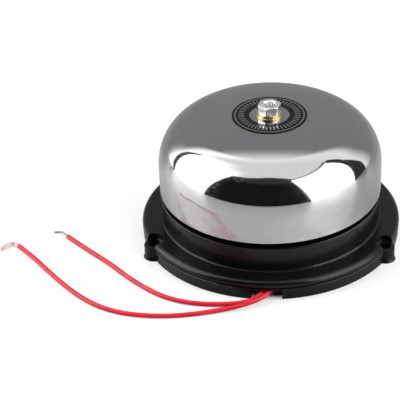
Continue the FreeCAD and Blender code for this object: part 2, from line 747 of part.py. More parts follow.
def make_return_spring():
    helix = document.addObject("Part::Helix", "spring_line")
    bind(helix, "Radius", "spring_radius")
    bind(helix, "Height", "spring_length - 2 * spring_wire - 2 * running_gap")
    bind(helix, "Pitch", "(spring_length - 2 * spring_wire - 2 * running_gap) / spring_turns")
    section = document.addObject("Part::Circle", "spring_section")
    section.Placement.Rotation = FreeCAD.Rotation(FreeCAD.Vector(1, 0, 0), 90)
    bind(section, "Radius", "spring_wire")
    bind(section, "Placement.Base.x", "spring_radius")
    document.recompute()
    coil = document.addObject("Part::Sweep", "return_spring")
    coil.Label = "return_spring"
    coil.Sections = [section]
    coil.Spine = (helix, [f"Edge{number + 1}" for number in range(len(helix.Shape.Edges))])
    coil.Solid = True
    coil.Frenet = True
    place(coil, x=f"{COLLAR_FACE} + spring_wire + running_gap", z=STRIKE_AXIS, along="X")
    return coil


# ---------------------------------------------------------------- terminal board
def make_board():
    body = new_body("terminal_board")
    box(body, "plate", ("slot_offset - board_length / 2", "0 - board_front", BOARD_UNDER),
        ("board_length", "board_depth", "board_thickness"))
    for side, sign in (("left", "-"), ("right", "+")):
        cylinder(body, f"hole_{side}", "small_shank + fit_gap", "board_thickness", cut=True,
                 x=f"slot_offset {sign} board_screw_spacing / 2", y="0 - board_front + board_depth / 2",
                 z=BOARD_UNDER)
    return body


def make_tags():
    """Brass tags: one joins a lead to the coil, and two stand at the ends of the diode."""
    body = new_body("terminal_tags", several=True)
    low_x = {"through": "slot_offset - tag_spacing / 2 - tag_width / 2",
             "front": "slot_offset + tag_spacing / 2 - tag_width / 2",
             "rear": "slot_offset + tag_spacing / 2 - tag_width / 2"}
    for name, x in low_x.items():
        long = "board_depth" if name == "through" else "tag_length"
        start = f"0 - {BOARD_BACK} - tag_length" if name == "rear" else "0 - board_front"
        box(body, f"{name}_strip", (x, start, BOARD_TOP), ("tag_width", long, "tag_thickness"))
        if name != "rear":
            box(body, f"{name}_leg", (x, "0 - board_front - tag_thickness", f"{COVER_TOP} + fit_gap"),
                ("tag_width", "tag_thickness", f"{TAG_TOP} - {COVER_TOP} - fit_gap"))
        if name == "front":
            box(body, "front_ear", (x, f"{start} + {long} - tag_thickness", BOARD_TOP),
                ("tag_width", "tag_thickness", "tag_ear"))
        else:
            box(body, f"{name}_ear", (x, f"0 - {BOARD_BACK} - tag_thickness", BOARD_TOP),
                ("tag_width", "tag_thickness", "tag_ear"))
    box(body, "rear_inner_ear", (low_x["rear"], f"0 - {BOARD_BACK} - tag_length", BOARD_TOP),
        ("tag_width", "tag_thickness", "tag_ear"))
    return body


def make_diode():
    """An axial diode between the ears of its two tags."""
    gap = f"(board_depth - 2 * tag_length)"
    lead = f"(({gap} - diode_length) / 2)"
    corners = [
        ("0", "0"),
        ("diode_lead", "0"),
        ("diode_lead", lead),
        ("diode_radius", lead),
        ("diode_radius", f"{lead} + diode_length"),
        ("diode_lead", f"{lead} + diode_length"),
        ("diode_lead", gap),
        ("0", gap),
    ]
    return turned("rectifier_diode", corners, x="slot_offset + tag_spacing / 2",
                  y="0 - board_front + tag_length", z=DIODE_AXIS, along="Y")


def make_clamp():
    body = new_body("lead_clamp")
    front = f"0 - {CLAMP_CENTRE} - clamp_depth / 2"
    box(body, "bar", ("slot_offset - clamp_length / 2", front, CLAMP_UNDER),
        ("clamp_length", "clamp_depth", "clamp_thickness"))
    for side, sign in (("left", "-"), ("right", "+")):
        cylinder(body, f"hole_{side}", "small_shank + fit_gap", "clamp_thickness", cut=True,
                 x=f"slot_offset {sign} clamp_screw_spacing / 2", y=f"0 - {CLAMP_CENTRE}",
                 z=CLAMP_UNDER)
    return body


# ---------------------------------------------------------------- wires
def rounded_path(points):
    """Straight runs joined by tangent arcs, with the smallest arc's radius."""
    corners = [FreeCAD.Vector(*point) for point in points]
    edges, start, radii = [], corners[0], []
    for before, corner, after in zip(corners, corners[1:], corners[2:]):
        into, out = (corner - before).normalize(), (after - corner).normalize()
        turn = into.getAngle(out)
        run = min((corner - before).Length, (after - corner).Length)
        reach = ROUTE_SHARE * run
        radii.append(reach / math.tan(turn / 2))
        enter, leave = corner - into * reach, corner + out * reach
        inward = (out - into).normalize()
        middle = corner + inward * (radii[-1] / math.cos(turn / 2) - radii[-1])
        edges.append(Part.LineSegment(start, enter).toShape())
        edges.append(Part.Arc(enter, middle, leave).toShape())
        start = leave
    edges.append(Part.LineSegment(start, corners[-1]).toShape())
    return Part.Wire(edges), min(radii)


def make_tube(name, points, diameter):
    path, tightest = rounded_path(points)
    first = FreeCAD.Vector(*points[0])
    heading = FreeCAD.Vector(*points[1]) - first
    section = Part.Wire([Part.Circle(first, heading, diameter / 2).toShape()])
    tube = document.addObject("Part::Feature", name)
    tube.Label = name
    tube.Shape = path.makePipeShell([section], True, True)
    tube.Placement = FreeCAD.Placement()
    share = tube.Shape.Volume / (math.pi * diameter ** 2 / 4 * path.Length)
    print(f"{name}: length {path.Length:.1f}, smallest radius {tightest:.1f}, volume share {share:.4f}")
    return tube


def make_leads():
    """Two limp leads from the tags, under the clamp, out of the slot and along the floor."""
    inside, floor = measure(LEAD_HEIGHT), measure("lead_diameter / 2")
    left = [
        (-0.9, -34.6, inside), (-0.9, -37.4, inside), (0.3, -41.2, inside), (1.1, -45.6, inside),
        (1.2, -50.0, inside), (0.7, -53.4, inside), (-1.4, -56.6, 2.8), (-4.8, -58.8, 1.9),
        (-9.6, -60.0, 1.2), (-16.6, -61.5, floor), (-25.4, -62.2, floor), (-35.0, -60.7, floor),
        (-44.2, -56.8, floor), (-53.0, -49.8, floor), (-61.4, -41.3, floor), (-69.8, -31.2, floor),
        (-78.8, -23.1, floor), (-85.9, -16.3, floor), (-90.4, -10.1, floor),
    ]
    right = [
        (4.3, -34.6, inside), (4.3, -37.4, inside), (2.8, -41.2, inside), (3.4, -45.9, inside),
        (3.6, -50.6, inside), (2.6, -54.9, 3.3), (0.2, -58.6, 3.4), (-3.6, -60.9, 3.1),
        (-8.6, -61.9, 2.4), (-14.6, -63.4, 1.7), (-22.0, -65.2, 1.1), (-31.0, -68.3, floor),
        (-41.2, -70.7, floor), (-51.8, -71.3, floor), (-62.0, -69.9, floor), (-71.2, -65.2, floor),
        (-79.4, -57.8, floor), (-87.8, -48.4, floor), (-96.2, -37.5, floor), (-104.2, -26.4, floor),
        (-111.4, -18.2, floor),
    ]
    diameter = SIZES["lead_diameter"]
    make_tube("lead_wire_left", left, diameter)
    make_tube("lead_wire_right", right, diameter)
    rest = measure("strand_diameter / 2")
    twist = [left[-1], (-92.65, -7.0, floor), (-94.7, -5.3, 0.6), (-97.2, -6.0, rest)]
    make_tube("bare_strands_left", twist, SIZES["strand_diameter"])
    make_fan(right)


def make_fan(route):
    """The right lead's bare strands, pressed flat and bent to the left of the lead's own heading."""
    end = FreeCAD.Vector(*route[-1])
    ahead = (end - FreeCAD.Vector(*route[-2])).normalize()
    left = FreeCAD.Vector(-ahead.y, ahead.x, 0)
    edge = [(0.0, -0.7), (1.9, -1.2), (3.9, -0.6), (5.1, 1.2), (5.4, 3.6), (5.0, 6.0), (3.6, 8.2),
            (2.0, 7.6), (2.6, 5.8), (2.8, 3.7), (2.4, 1.9), (1.4, 0.9), (0.0, 0.7)]
    corners = [end + ahead * along + left * aside for along, aside in edge]
    fan = new_body("bare_strands_right")
    pad = fan.newObject("PartDesign::Pad", "flattened_bunch")
    pad.Profile = outline(fan, "fan_edge", [(str(p.x), str(p.y)) for p in corners], "XY_Plane")
    bind(pad, "Length", "fan_thickness")


def make_coil_leads():
    """Two insulated leads from the rear tags up to the anchor under the coil."""
    back = measure(f"0 - {BOARD_BACK}")
    height = measure(f"{BOARD_TOP} + tag_ear / 2 + tag_thickness")
    top = measure(f"{STRIKE_AXIS} - {TAPE} - anchor_height")
    for side, sign in (("left", -1), ("right", 1)):
        x = measure("slot_offset") + sign * measure("tag_spacing / 2")
        y = measure("0 - coil_lead_reach + anchor_width / 4")
        points = [(x, back, height), (x, y, height), (x, y, top)]
        make_tube(f"coil_lead_{side}", points, SIZES["coil_lead_diameter"])


# ---------------------------------------------------------------- assembly, checks and export
make_base()
make_cover()
make_screws("back_cover_screws", [around(angle, SCREW_CIRCLE) for angle in COVER_SCREW_ANGLES],
            "screw_shank", "screw_head", "screw_head_height", "screw_length",
            "(cover_recess + screw_recess)", upward=True)
make_dome()
make_label()
make_stack()
make_frame()
make_coil()
make_striker()
make_return_spring()
make_board()
make_tags()
make_screws("board_screws",
            [(f"slot_offset {sign} board_screw_spacing / 2", "0 - board_front + board_depth / 2")
             for sign in "-+"],
            "small_shank", "small_head", "small_head_height", "(small_screw_length + board_thickness)",
            BOARD_TOP, upward=False)
make_diode()
make_clamp()
make_screws("clamp_screws",
            [(f"slot_offset {sign} clamp_screw_spacing / 2", f"0 - {CLAMP_CENTRE}") for sign in "-+"],
            "small_shank", "small_head", "small_head_height", "(small_screw_length + clamp_thickness)",
            f"({CLAMP_UNDER} + clamp_thickness)", upward=False)
make_leads()
make_coil_leads()
document.recompute()

for item in document.Objects:
    if "Invalid" in item.State or "Error" in item.State:
        raise RuntimeError(f"{item.Label} failed: {item.State}")
os.makedirs("parts", exist_ok=True)
pieces = [item for item in document.Objects
          if item.TypeId in ("PartDesign::Body", "Part::Feature", "Part::Sweep")]
for item in pieces:
    if item.Shape.isNull() or not item.Shape.isValid() or not item.Shape.Solids:
        raise RuntimeError(f"{item.Label} has no valid solid")
for item in pieces:
    item.Shape.exportStep(f"parts/{item.Label}.step")
    print(f"{item.Label}: {len(item.Shape.Solids)} solids, {item.Shape.Volume:.1f} mm3")
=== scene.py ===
"""An under-dome electric bell on a pale studio table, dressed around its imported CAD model.

Metres, in the CAD model's own frame: the bell's axis is Z, the leads leave towards -Y and the
striker moves along +X. The sizes of pieces are listed in millimetres and multiplied by MM where
they are used. Those of the studio, and the grain of materials, are in metres.
"""

from math import radians

import bpy
import numpy as np
from mathutils import Matrix


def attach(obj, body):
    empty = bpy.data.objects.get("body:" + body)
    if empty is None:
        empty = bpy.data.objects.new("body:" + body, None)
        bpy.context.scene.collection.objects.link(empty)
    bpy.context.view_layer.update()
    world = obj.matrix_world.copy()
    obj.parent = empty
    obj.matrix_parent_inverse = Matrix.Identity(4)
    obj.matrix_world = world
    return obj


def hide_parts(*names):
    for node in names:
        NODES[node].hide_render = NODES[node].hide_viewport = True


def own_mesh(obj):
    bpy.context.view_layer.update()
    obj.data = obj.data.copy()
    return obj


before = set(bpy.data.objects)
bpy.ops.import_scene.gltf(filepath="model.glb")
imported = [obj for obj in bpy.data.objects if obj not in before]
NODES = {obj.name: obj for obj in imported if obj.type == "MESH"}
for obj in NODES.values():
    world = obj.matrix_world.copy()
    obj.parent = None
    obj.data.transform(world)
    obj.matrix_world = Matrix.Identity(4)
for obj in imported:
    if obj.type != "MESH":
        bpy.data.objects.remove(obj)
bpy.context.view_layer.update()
MM = 0.001


# ---------------------------------------------------------------------------
# Studio. A pale table, a wide softbox to each side of the bell, a white ceiling, a
# grey wall behind and black cloth on the camera's side between the softboxes. The
# polished gong mirrors these cards, so each one is laid out by the directions it fills.
# ---------------------------------------------------------------------------

CAMERA_PLACE = (0.02527, -0.74960, 0.47817)
CAMERA_YAW = 4.3226
CAMERA_PITCH = -31.667
CAMERA_ROLL = -1.859
CAMERA_LENS = 178.11
SOFTBOX_GLOW = 4.6
FRAME_GLOW = 0.08
DIM_TINT = (0.96, 0.97, 1.0)
DIM_GLOW, PLAIN_GLOW = 0.35, 0.90
CARD_ROWS, CARD_COLUMNS = 90, 181
SHARP_ANGLE = 32.0

# The table is dark under the base, glows from a ring round it outwards and is darker far away.
# What the bell mirrors of it changes in bands from near to far: a painted reflection, from a glow
# that only mirror rays see. Near the base this mirrored glow fades out, as painted shade in the
# base's own reflection. The darker colour far away, hidden from the camera by extra glow, paints a
# darker reflection behind the bell. Places and radii are in metres.
TABLE_REACH = 3.6
TABLE_GLOW = 0.52
UNDER_BASE = (0.0535, 0.0565)
PAINTED_SHADE_RADII = (0.058, 0.088)
FAR_DEPTHS = (0.05, 0.15)
FAR_GLOW = 0.5
MIRRORED_SLANT = 0.35
MIRRORED_GLOW = [(-0.110, 0.54), (-0.065, 0.85), (-0.040, 0.82), (0.0, 0.42), (0.030, 0.13)]
TABLE_NEAR = (0.38, 0.38, 0.38)
TABLE_FAR_SHADE = (0.22, 0.22, 0.23)

camera_data = bpy.data.cameras.new("camera")
camera_data.lens = CAMERA_LENS
camera_data.sensor_width = 36.0
camera_data.clip_start = 0.01
camera = bpy.data.objects.new("camera", camera_data)
camera.matrix_world = (
    Matrix.Translation(CAMERA_PLACE)
    @ Matrix.Rotation(radians(CAMERA_YAW), 4, "Z")
    @ Matrix.Rotation(radians(90.0 + CAMERA_PITCH), 4, "X")
    @ Matrix.Rotation(radians(CAMERA_ROLL), 4, "Z")
)
bpy.context.collection.objects.link(camera)
bpy.context.scene.camera = camera
bpy.context.scene.view_settings.view_transform = "Standard"

world = bpy.data.worlds.new("studio_air")
world.use_nodes = True
world.node_tree.nodes["Background"].inputs["Color"].default_value = (1.0, 1.0, 1.0, 1.0)
bpy.context.scene.world = world


def add_node(tree, kind, sockets=None, **settings):
    """Add a shader node; each socket gets a value, or a link where the value is another node's output."""
    node = tree.nodes.new(kind)
    for name, value in settings.items():
        setattr(node, name, value)
    for socket, value in (sockets or {}).items():
        if isinstance(value, bpy.types.NodeSocket):
            tree.links.new(value, node.inputs[socket])
        else:
            node.inputs[socket].default_value = value
    return node


def add_math(tree, operation, *values):
    """A Math node over numbers or other nodes' outputs; returns its output."""
    return add_node(tree, "ShaderNodeMath", dict(enumerate(values)), operation=operation).outputs[0]


def new_material(name, sockets):
    """A material with one Principled shader that has these constant sockets."""
    material = bpy.data.materials.new(name)
    material.use_nodes = True
    shader = material.node_tree.nodes["Principled BSDF"]
    for socket, value in sockets.items():
        shader.inputs[socket].default_value = value
    return material, material.node_tree, shader


def new_piece(name, points, faces, material):
    """A smooth-shaded mesh object at the origin, from an (n, 3) array of places and a list of faces."""
    mesh = bpy.data.meshes.new(name)
    mesh.from_pydata(points, [], faces)
    mesh.shade_smooth()
    mesh.set_sharp_from_angle(angle=radians(SHARP_ANGLE))
    mesh.materials.append(material)
    piece = bpy.data.objects.new(name, mesh)
    bpy.context.collection.objects.link(piece)
    return piece


def grid_faces(rows, columns, rows_closed, columns_closed):
    """Quads between neighbouring points of a grid that is numbered row by row."""
    row, column = np.meshgrid(
        np.arange(rows if rows_closed else rows - 1),
        np.arange(columns if columns_closed else columns - 1),
        indexing="ij",
    )
    next_row, next_column = (row + 1) % rows, (column + 1) % columns
    corners = [
        row * columns + column,
        row * columns + next_column,
        next_row * columns + next_column,
        next_row * columns + column,
    ]
    return np.stack(corners, axis=-1).reshape(-1, 4)


studio_light = bpy.data.materials.new("studio_light")
studio_light.use_nodes = True
light_tree = studio_light.node_tree
light_tree.nodes.clear()
light_level = add_node(light_tree, "ShaderNodeAttribute", attribute_name="glow")
lit_share = add_node(
    light_tree,
    "ShaderNodeMapRange",
    {"Value": light_level.outputs["Fac"], "From Min": DIM_GLOW, "From Max": PLAIN_GLOW},
)
light_tint = add_node(
    light_tree,
    "ShaderNodeMix",
    {"Factor": lit_share.outputs["Result"], "A": (*DIM_TINT, 1.0), "B": (1.0, 1.0, 1.0, 1.0)},
    data_type="RGBA",
)
light_out = add_node(
    light_tree,
    "ShaderNodeEmission",
    {"Color": light_tint.outputs["Result"], "Strength": light_level.outputs["Fac"]},
)
add_node(light_tree, "ShaderNodeOutputMaterial", {"Surface": light_out.outputs["Emission"]})


def studio_card(name, distance, outline, glow):
    """A card that fills a patch of directions seen from the bell, at one distance.

    The outline is rows of (height, left bearing, right bearing) in degrees from the patch's foot
    to its head; bearings count from -Y towards +X. The glow is worked out from bearing and height.
    """
    heights, lefts, rights = np.array(outline, float).T
    height = np.linspace(heights[0], heights[-1], CARD_ROWS)[:, None]
    left, right = np.interp(height, heights, lefts), np.interp(height, heights, rights)
    bearing = left + (right - left) * np.linspace(0.0, 1.0, CARD_COLUMNS)
    height = np.broadcast_to(height, bearing.shape)
    turn, rise = np.radians(bearing), np.radians(height)
    flat = np.cos(rise)
    points = distance * np.stack([np.sin(turn) * flat, -np.cos(turn) * flat, np.sin(rise)], axis=-1)
    faces = grid_faces(CARD_ROWS, CARD_COLUMNS, False, False)
    card = new_piece(name, points.reshape(-1, 3), faces, studio_light)
    level = card.data.attributes.new("glow", "FLOAT", "POINT")
    level.data.foreach_set("value", glow(bearing, height).astype(np.float32).ravel())
    card.visible_camera = False


def fade(value, start, end):
    """0 up to the start and 1 from the end on, with a smooth passage between them."""
    share = np.clip((value - start) / (end - start), 0.0, 1.0)
    return share**2 * (3.0 - 2.0 * share)


def ragged(bearing, height):
    """Uneven patches between 0 and 1: two crossed waves that bend each other."""
    across = np.sin(0.55 * bearing + 1.7 * np.sin(0.24 * height))
    upward = np.sin(0.43 * height + 1.3 * np.sin(0.19 * bearing))
    return 0.5 + 0.5 * across * upward


def even_glow(level):
    """A glow that is the same over a whole card."""
    return lambda bearing, height: np.full_like(bearing, level)


def room_glow(bearing, height):
    """A white ceiling that comes down behind the bell to a grey wall with a rounded upper edge.

    The wall's rim is a little brighter than the ceiling, and the ceiling over the left softbox
    is lit by it.
    """
    behind = (bearing % 360.0) - 180.0
    out = np.hypot(behind / 62.0, (height - 24.0) / np.where(height > 24.0, 32.0, 120.0))
    level = 0.40 + 1.30 * fade(out, 0.82, 1.12) - 0.25 * fade(out, 1.15, 1.7)
    left_rim = fade(bearing, -172.0, -150.0) * (1.0 - fade(bearing, -110.0, -90.0))
    level += 0.8 * left_rim * fade(out, 0.85, 1.0) * (1.0 - fade(out, 1.05, 1.35))
    over_left = fade(bearing, -134.0, -116.0) * (1.0 - fade(bearing, -62.0, -48.0))
    return level + 1.1 * over_left * (1.0 - fade(height, 60.0, 77.0))


def cloth_glow(bearing, height):
    """Black, greyer near its upper edge, with pale clutter past both of its ends."""
    patches = ragged(bearing, height)
    level = 0.018 + 0.05 * fade(height + 5.0 * patches, 54.0, 58.0)
    level += 0.24 * patches**2 * (1.0 - fade(bearing, -60.0, -50.0))
    level += 0.18 * patches**2 * fade(height, 46.0, 52.0) * (1.0 - fade(bearing, -44.0, -28.0))
    return level + 0.10 * patches**2 * fade(bearing, 34.0, 39.0)


studio_card("room", 3.4, [(-1.0, -180.0, 180.0), (89.8, -180.0, 180.0)], room_glow)
studio_card(
    "black_cloth",
    2.6,
    [
        (0.0, -69.0, 43.0),
        (40.0, -66.0, 39.0),
        (56.0, -61.0, 38.0),
        (58.5, -58.0, 38.0),
        (62.0, -45.0, 33.0),
        (66.0, -28.0, 25.0),
        (69.0, -11.0, 12.0),
        (70.0, -3.0, 3.0),
    ],
    cloth_glow,
)
studio_card("softbox_left", 2.2, [(0.0, -107.0, -65.0), (58.0, -124.0, -59.0)], even_glow(SOFTBOX_GLOW))
studio_card("softbox_right", 2.2, [(0.0, 42.0, 92.0), (57.0, 33.0, 105.0)], even_glow(SOFTBOX_GLOW))
studio_card("softbox_frame", 2.1, [(57.4, 33.0, 110.0), (59.4, 34.0, 111.0)], even_glow(FRAME_GLOW))
studio_card(
    "dark_edge_left",
    2.8,
    [
        (0.0, -111.0, -105.0),
        (5.0, -115.0, -106.0),
        (15.0, -118.0, -109.0),
        (30.0, -121.0, -114.0),
        (48.0, -125.0, -119.0),
    ],
    lambda b, h: 0.05 + 0.10 * ragged(b, h),
)
studio_card(
    "dark_edge_right",
    2.8,
    [(0.0, 91.0, 112.0), (15.0, 92.0, 112.0), (25.0, 94.0, 110.0), (40.0, 98.0, 109.0), (57.0, 104.0, 117.0)],
    lambda b, h: 0.015 + 0.22 * ragged(2.5 * b + h, 4.0 * h) ** 3,
)

pale_table, table_tree, table_shader = new_material("pale_table", {"Roughness": 0.35})
table_shader.inputs["Emission Color"].default_value = (1.0, 1.0, 1.0, 1.0)
ray = add_node(table_tree, "ShaderNodeLightPath")
mirrored = add_math(table_tree, "MAXIMUM", ray.outputs["Is Glossy Ray"], ray.outputs["Is Transmission Ray"])
table_place = add_node(table_tree, "ShaderNodeTexCoord")
table_parts = add_node(table_tree, "ShaderNodeSeparateXYZ", {"Vector": table_place.outputs["Object"]})
# Painted reflection: mirror rays see the table glow in slanted bands, set to what the gong shows of it.
slanted = add_math(
    table_tree, "MULTIPLY_ADD", table_parts.outputs["X"], MIRRORED_SLANT, table_parts.outputs["Y"]
)
nearest, farthest = MIRRORED_GLOW[0][0], MIRRORED_GLOW[-1][0]
slant_share = add_node(
    table_tree, "ShaderNodeMapRange", {"Value": slanted, "From Min": nearest, "From Max": farthest}
)
glow_bands = add_node(table_tree, "ShaderNodeValToRGB", {"Fac": slant_share.outputs["Result"]})
glow_bands.color_ramp.interpolation = "EASE"
while len(glow_bands.color_ramp.elements) < len(MIRRORED_GLOW):
    glow_bands.color_ramp.elements.new(0.5)
for stop, (place, glow) in zip(glow_bands.color_ramp.elements, MIRRORED_GLOW):
    stop.position = (place - nearest) / (farthest - nearest)
    stop.color = (glow, glow, glow, 1.0)
table_radius = add_node(
    table_tree, "ShaderNodeVectorMath", {0: table_place.outputs["Object"]}, operation="LENGTH"
).outputs["Value"]
# Painted shade: the mirrored glow fades to nothing near the base, darkening the base's own reflection like
# contact shade.
beyond_painted_shade = add_node(
    table_tree,
    "ShaderNodeMapRange",
    {"Value": table_radius, "From Min": PAINTED_SHADE_RADII[0], "From Max": PAINTED_SHADE_RADII[1]},
)
mirrored_place = add_math(
    table_tree, "MULTIPLY", beyond_painted_shade.outputs["Result"], glow_bands.outputs["Color"]
)
mirrored_share = add_math(table_tree, "MULTIPLY", mirrored, mirrored_place)
seen = add_math(table_tree, "MAXIMUM", ray.outputs["Is Camera Ray"], mirrored_share)
open_table = add_node(
    table_tree,
    "ShaderNodeMapRange",
    {"Value": table_radius, "From Min": UNDER_BASE[0], "From Max": UNDER_BASE[1], "To Max": TABLE_GLOW},
)
# Painted shade in reflections: the far table is darker for what it mirrors and lights, and extra camera glow
# keeps it white to the camera.
far_table = add_node(
    table_tree,
    "ShaderNodeMapRange",
    {"Value": table_parts.outputs["Y"], "From Min": FAR_DEPTHS[0], "From Max": FAR_DEPTHS[1]},
).outputs["Result"]
table_tone = add_node(
    table_tree,
    "ShaderNodeMix",
    {"Factor": far_table, "A": (*TABLE_NEAR, 1.0), "B": (*TABLE_FAR_SHADE, 1.0)},
    data_type="RGBA",
)
far_share = add_math(table_tree, "MULTIPLY", ray.outputs["Is Camera Ray"], far_table)
near_glow = add_math(table_tree, "MULTIPLY", seen, open_table.outputs["Result"])
table_glow = add_math(table_tree, "MULTIPLY_ADD", far_share, FAR_GLOW, near_glow)
table_tree.links.new(table_tone.outputs["Result"], table_shader.inputs["Base Color"])
table_tree.links.new(table_glow, table_shader.inputs["Emission Strength"])
table_corners = TABLE_REACH * np.array([(-1, -1, 0), (1, -1, 0), (1, 1, 0), (-1, 1, 0)])
new_piece("table", table_corners, [(0, 1, 2, 3)], pale_table)


# ---------------------------------------------------------------------------
# Lead wires. Two single leads in red PVC come out side by side through the notch in
# the base and lie loose on the table. The long one crosses over the short one's
# start. The insulation is stripped at their ends.
# ---------------------------------------------------------------------------

LEAD_THICKNESS = 2.1
INSIDE = 3.2
LYING = 1.05
LEFT_ROUTE = [
    (-0.9, -34.6, INSIDE),
    (-0.9, -37.4, INSIDE),
    (0.3, -41.2, INSIDE),
    (1.1, -45.6, INSIDE),
    (0.8, -50.0, INSIDE),
    (-0.3, -53.4, INSIDE),
    (-2.5, -57.1, 2.9),
    (-5.4, -59.4, 2.0),
    (-9.6, -60.8, 1.2),
    (-16.6, -61.9, LYING),
    (-25.4, -62.2, LYING),
    (-35.0, -60.7, LYING),
    (-44.2, -56.8, LYING),
    (-53.0, -49.8, LYING),
    (-61.4, -41.3, LYING),
    (-69.8, -31.2, LYING),
    (-78.8, -22.4, LYING),
    (-85.9, -14.9, LYING),
    (-90.4, -10.1, LYING),
]
RIGHT_ROUTE = [
    (4.3, -34.6, INSIDE),
    (4.3, -37.4, INSIDE),
    (2.8, -41.2, INSIDE),
    (3.4, -45.9, INSIDE),
    (3.2, -50.6, INSIDE),
    (1.6, -54.9, 3.4),
    (-0.8, -59.1, 3.5),
    (-4.2, -61.6, 3.1),
    (-8.6, -63.4, 2.3),
    (-14.6, -65.2, 1.5),
    (-22.0, -67.2, 1.1),
    (-31.0, -69.6, LYING),
    (-41.2, -71.1, LYING),
    (-51.8, -70.9, LYING),
    (-62.0, -68.9, LYING),
    (-71.2, -64.5, LYING),
    (-79.4, -57.8, LYING),
    (-87.8, -48.4, LYING),
    (-96.2, -37.5, LYING),
    (-104.2, -26.4, LYING),
    (-111.4, -18.2, LYING),
]


def new_group(name, inputs, outputs):
    """A shader node group with named sockets; the values are float unless named Vector."""
    group = bpy.data.node_groups.new(name, "ShaderNodeTree")
    for socket in inputs:
        kind = "NodeSocketVector" if socket == "Vector" else "NodeSocketFloat"
        group.interface.new_socket(socket, in_out="INPUT", socket_type=kind)
    for socket in outputs:
        group.interface.new_socket(socket, in_out="OUTPUT", socket_type="NodeSocketFloat")
    return group, group.nodes.new("NodeGroupInput"), group.nodes.new("NodeGroupOutput")


# Uneven tone: slow cloudiness over the whole surface and a fine grain on top of it.
uneven_tone, uneven_in, uneven_out = new_group(
    "uneven_tone", ["Vector", "Broad", "Fine"], ["Cloud", "Grain"]
)
for socket, size, detail in (("Cloud", "Broad", 3.0), ("Grain", "Fine", 5.0)):
    noise = add_node(
        uneven_tone,
        "ShaderNodeTexNoise",
        {
            "Vector": uneven_in.outputs["Vector"],
            "Scale": uneven_in.outputs[size],
            "Detail": detail,
            "Roughness": 0.6,
        },
    )
    uneven_tone.links.new(noise.outputs["Fac"], uneven_out.inputs[socket])


def grained_material(name, dark, light, roughness, broad, fine, relief, specular=None):
    """A finish that drifts between two colours and two roughnesses, with a fine relief.

    Broad and fine are noise scales per metre, and relief is the depth of the grain in metres.
    It is a metal unless it is given a specular level. Returns the material, its tree and its shader.
    """
    sockets = {"Metallic": 1.0} if specular is None else {"Specular IOR Level": specular}
    material, tree, shader = new_material(name, sockets)
    place = add_node(tree, "ShaderNodeTexCoord")
    tone = add_node(tree, "ShaderNodeGroup", node_tree=uneven_tone)
    tree.links.new(place.outputs["Object"], tone.inputs["Vector"])
    tone.inputs["Broad"].default_value = broad
    tone.inputs["Fine"].default_value = fine
    both = add_math(tree, "MULTIPLY", tone.outputs["Cloud"], tone.outputs["Grain"])
    mask = add_node(tree, "ShaderNodeMapRange", {"Value": both, "From Min": 0.12, "From Max": 0.40})
    colour = add_node(
        tree,
        "ShaderNodeMix",
        {"Factor": mask.outputs["Result"], "A": (*dark, 1.0), "B": (*light, 1.0)},
        data_type="RGBA",
    )
    cloud = {"Value": tone.outputs["Cloud"], "From Min": 0.3, "From Max": 0.7}
    gloss = add_node(tree, "ShaderNodeMapRange", {**cloud, "To Min": roughness[0], "To Max": roughness[1]})
    grain = {"Height": tone.outputs["Grain"], "Strength": 1.0, "Distance": relief}
    bump = add_node(tree, "ShaderNodeBump", grain)
    tree.links.new(colour.outputs["Result"], shader.inputs["Base Color"])
    tree.links.new(gloss.outputs["Result"], shader.inputs["Roughness"])
    tree.links.new(bump.outputs["Normal"], shader.inputs["Normal"])
    return material, tree, shader


def lay_spline(name, route):
    """A curve object with one open NURBS spline that has the route's points as its control points."""
    curve = bpy.data.curves.new(name, "CURVE")
    curve.dimensions = "3D"
    spline = curve.splines.new("NURBS")
    spline.points.add(len(route) - 1)
    for point, (x, y, z) in zip(spline.points, route):
        point.co = (x * MM, y * MM, z * MM, 1.0)
    spline.order_u = 3
    spline.use_endpoint_u = True
    spline.resolution_u = 10
    return bpy.data.objects.new(name, curve)


red_pvc, *_ = grained_material(
    "red_pvc",
    dark=(0.45, 0.006, 0.018),
    light=(0.65, 0.015, 0.038),
    roughness=(0.28, 0.42),
    broad=90.0,
    fine=2200.0,
    relief=0.00003,
    specular=0.32,
)


def take_place(piece, node):
    """Put a finished piece in a CAD node's place, on the body that stays still."""
    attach(piece, "root")
    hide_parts(node)


def lay_lead(name, route, node):
    """A lead of round section swept along its route, put in its CAD node's place."""
    lead = lay_spline(name, route)
    lead.data.bevel_depth = LEAD_THICKNESS * MM / 2
    lead.data.bevel_resolution = 6
    lead.data.use_fill_caps = True
    lead.data.materials.append(red_pvc)
    bpy.context.collection.objects.link(lead)
    take_place(lead, node)


# ---------------------------------------------------------------------------
# Bare strands. Both leads end in stripped copper: the short lead's is tinned and
# still twisted, and the long lead's is spread flat in a bent fan.
# ---------------------------------------------------------------------------

TWIST_ROUTE = [
    (-89.9, -10.8, 1.05),
    (-90.4, -10.1, 1.05),
    (-92.65, -7.0, 1.05),
    (-94.7, -5.3, 0.6),
    (-97.1, -5.95, 0.5),
]
TWIST_STRANDS = 7
TWIST_STRAND_RADIUS = 0.16
TWIST_RADIUS = 0.27
TWIST_PITCH = 5.0
FAN_ROUTE = [
    (-110.9, -18.8, 1.05),
    (-111.4, -18.2, 1.0),
    (-112.7, -16.5, 0.75),
    (-114.6, -15.8, 0.5),
    (-116.6, -17.2, 0.45),
    (-118.4, -19.2, 0.4),
    (-118.9, -21.3, 0.35),
]
FAN_STRANDS = 20
FAN_STRAND_RADIUS = 0.13
FAN_WIDTHS = (0.6, 1.9, 3.3, 3.6, 2.7, 0.7)
FAN_SWAY = 0.09
BUNCH_RISE = 0.6
BUNCH_LENGTH = 2.5


def spline_line(route):
    """Places along the route's own NURBS spline, in metres, as an (n, 3) array."""
    guide = lay_spline("guide", route)
    line = bpy.data.meshes.new_from_object(guide)
    places = np.empty(len(line.vertices) * 3)
    line.vertices.foreach_get("co", places)
    bpy.data.meshes.remove(line)
    curve = guide.data
    bpy.data.objects.remove(guide)
    bpy.data.curves.remove(curve)
    return places.reshape(-1, 3)


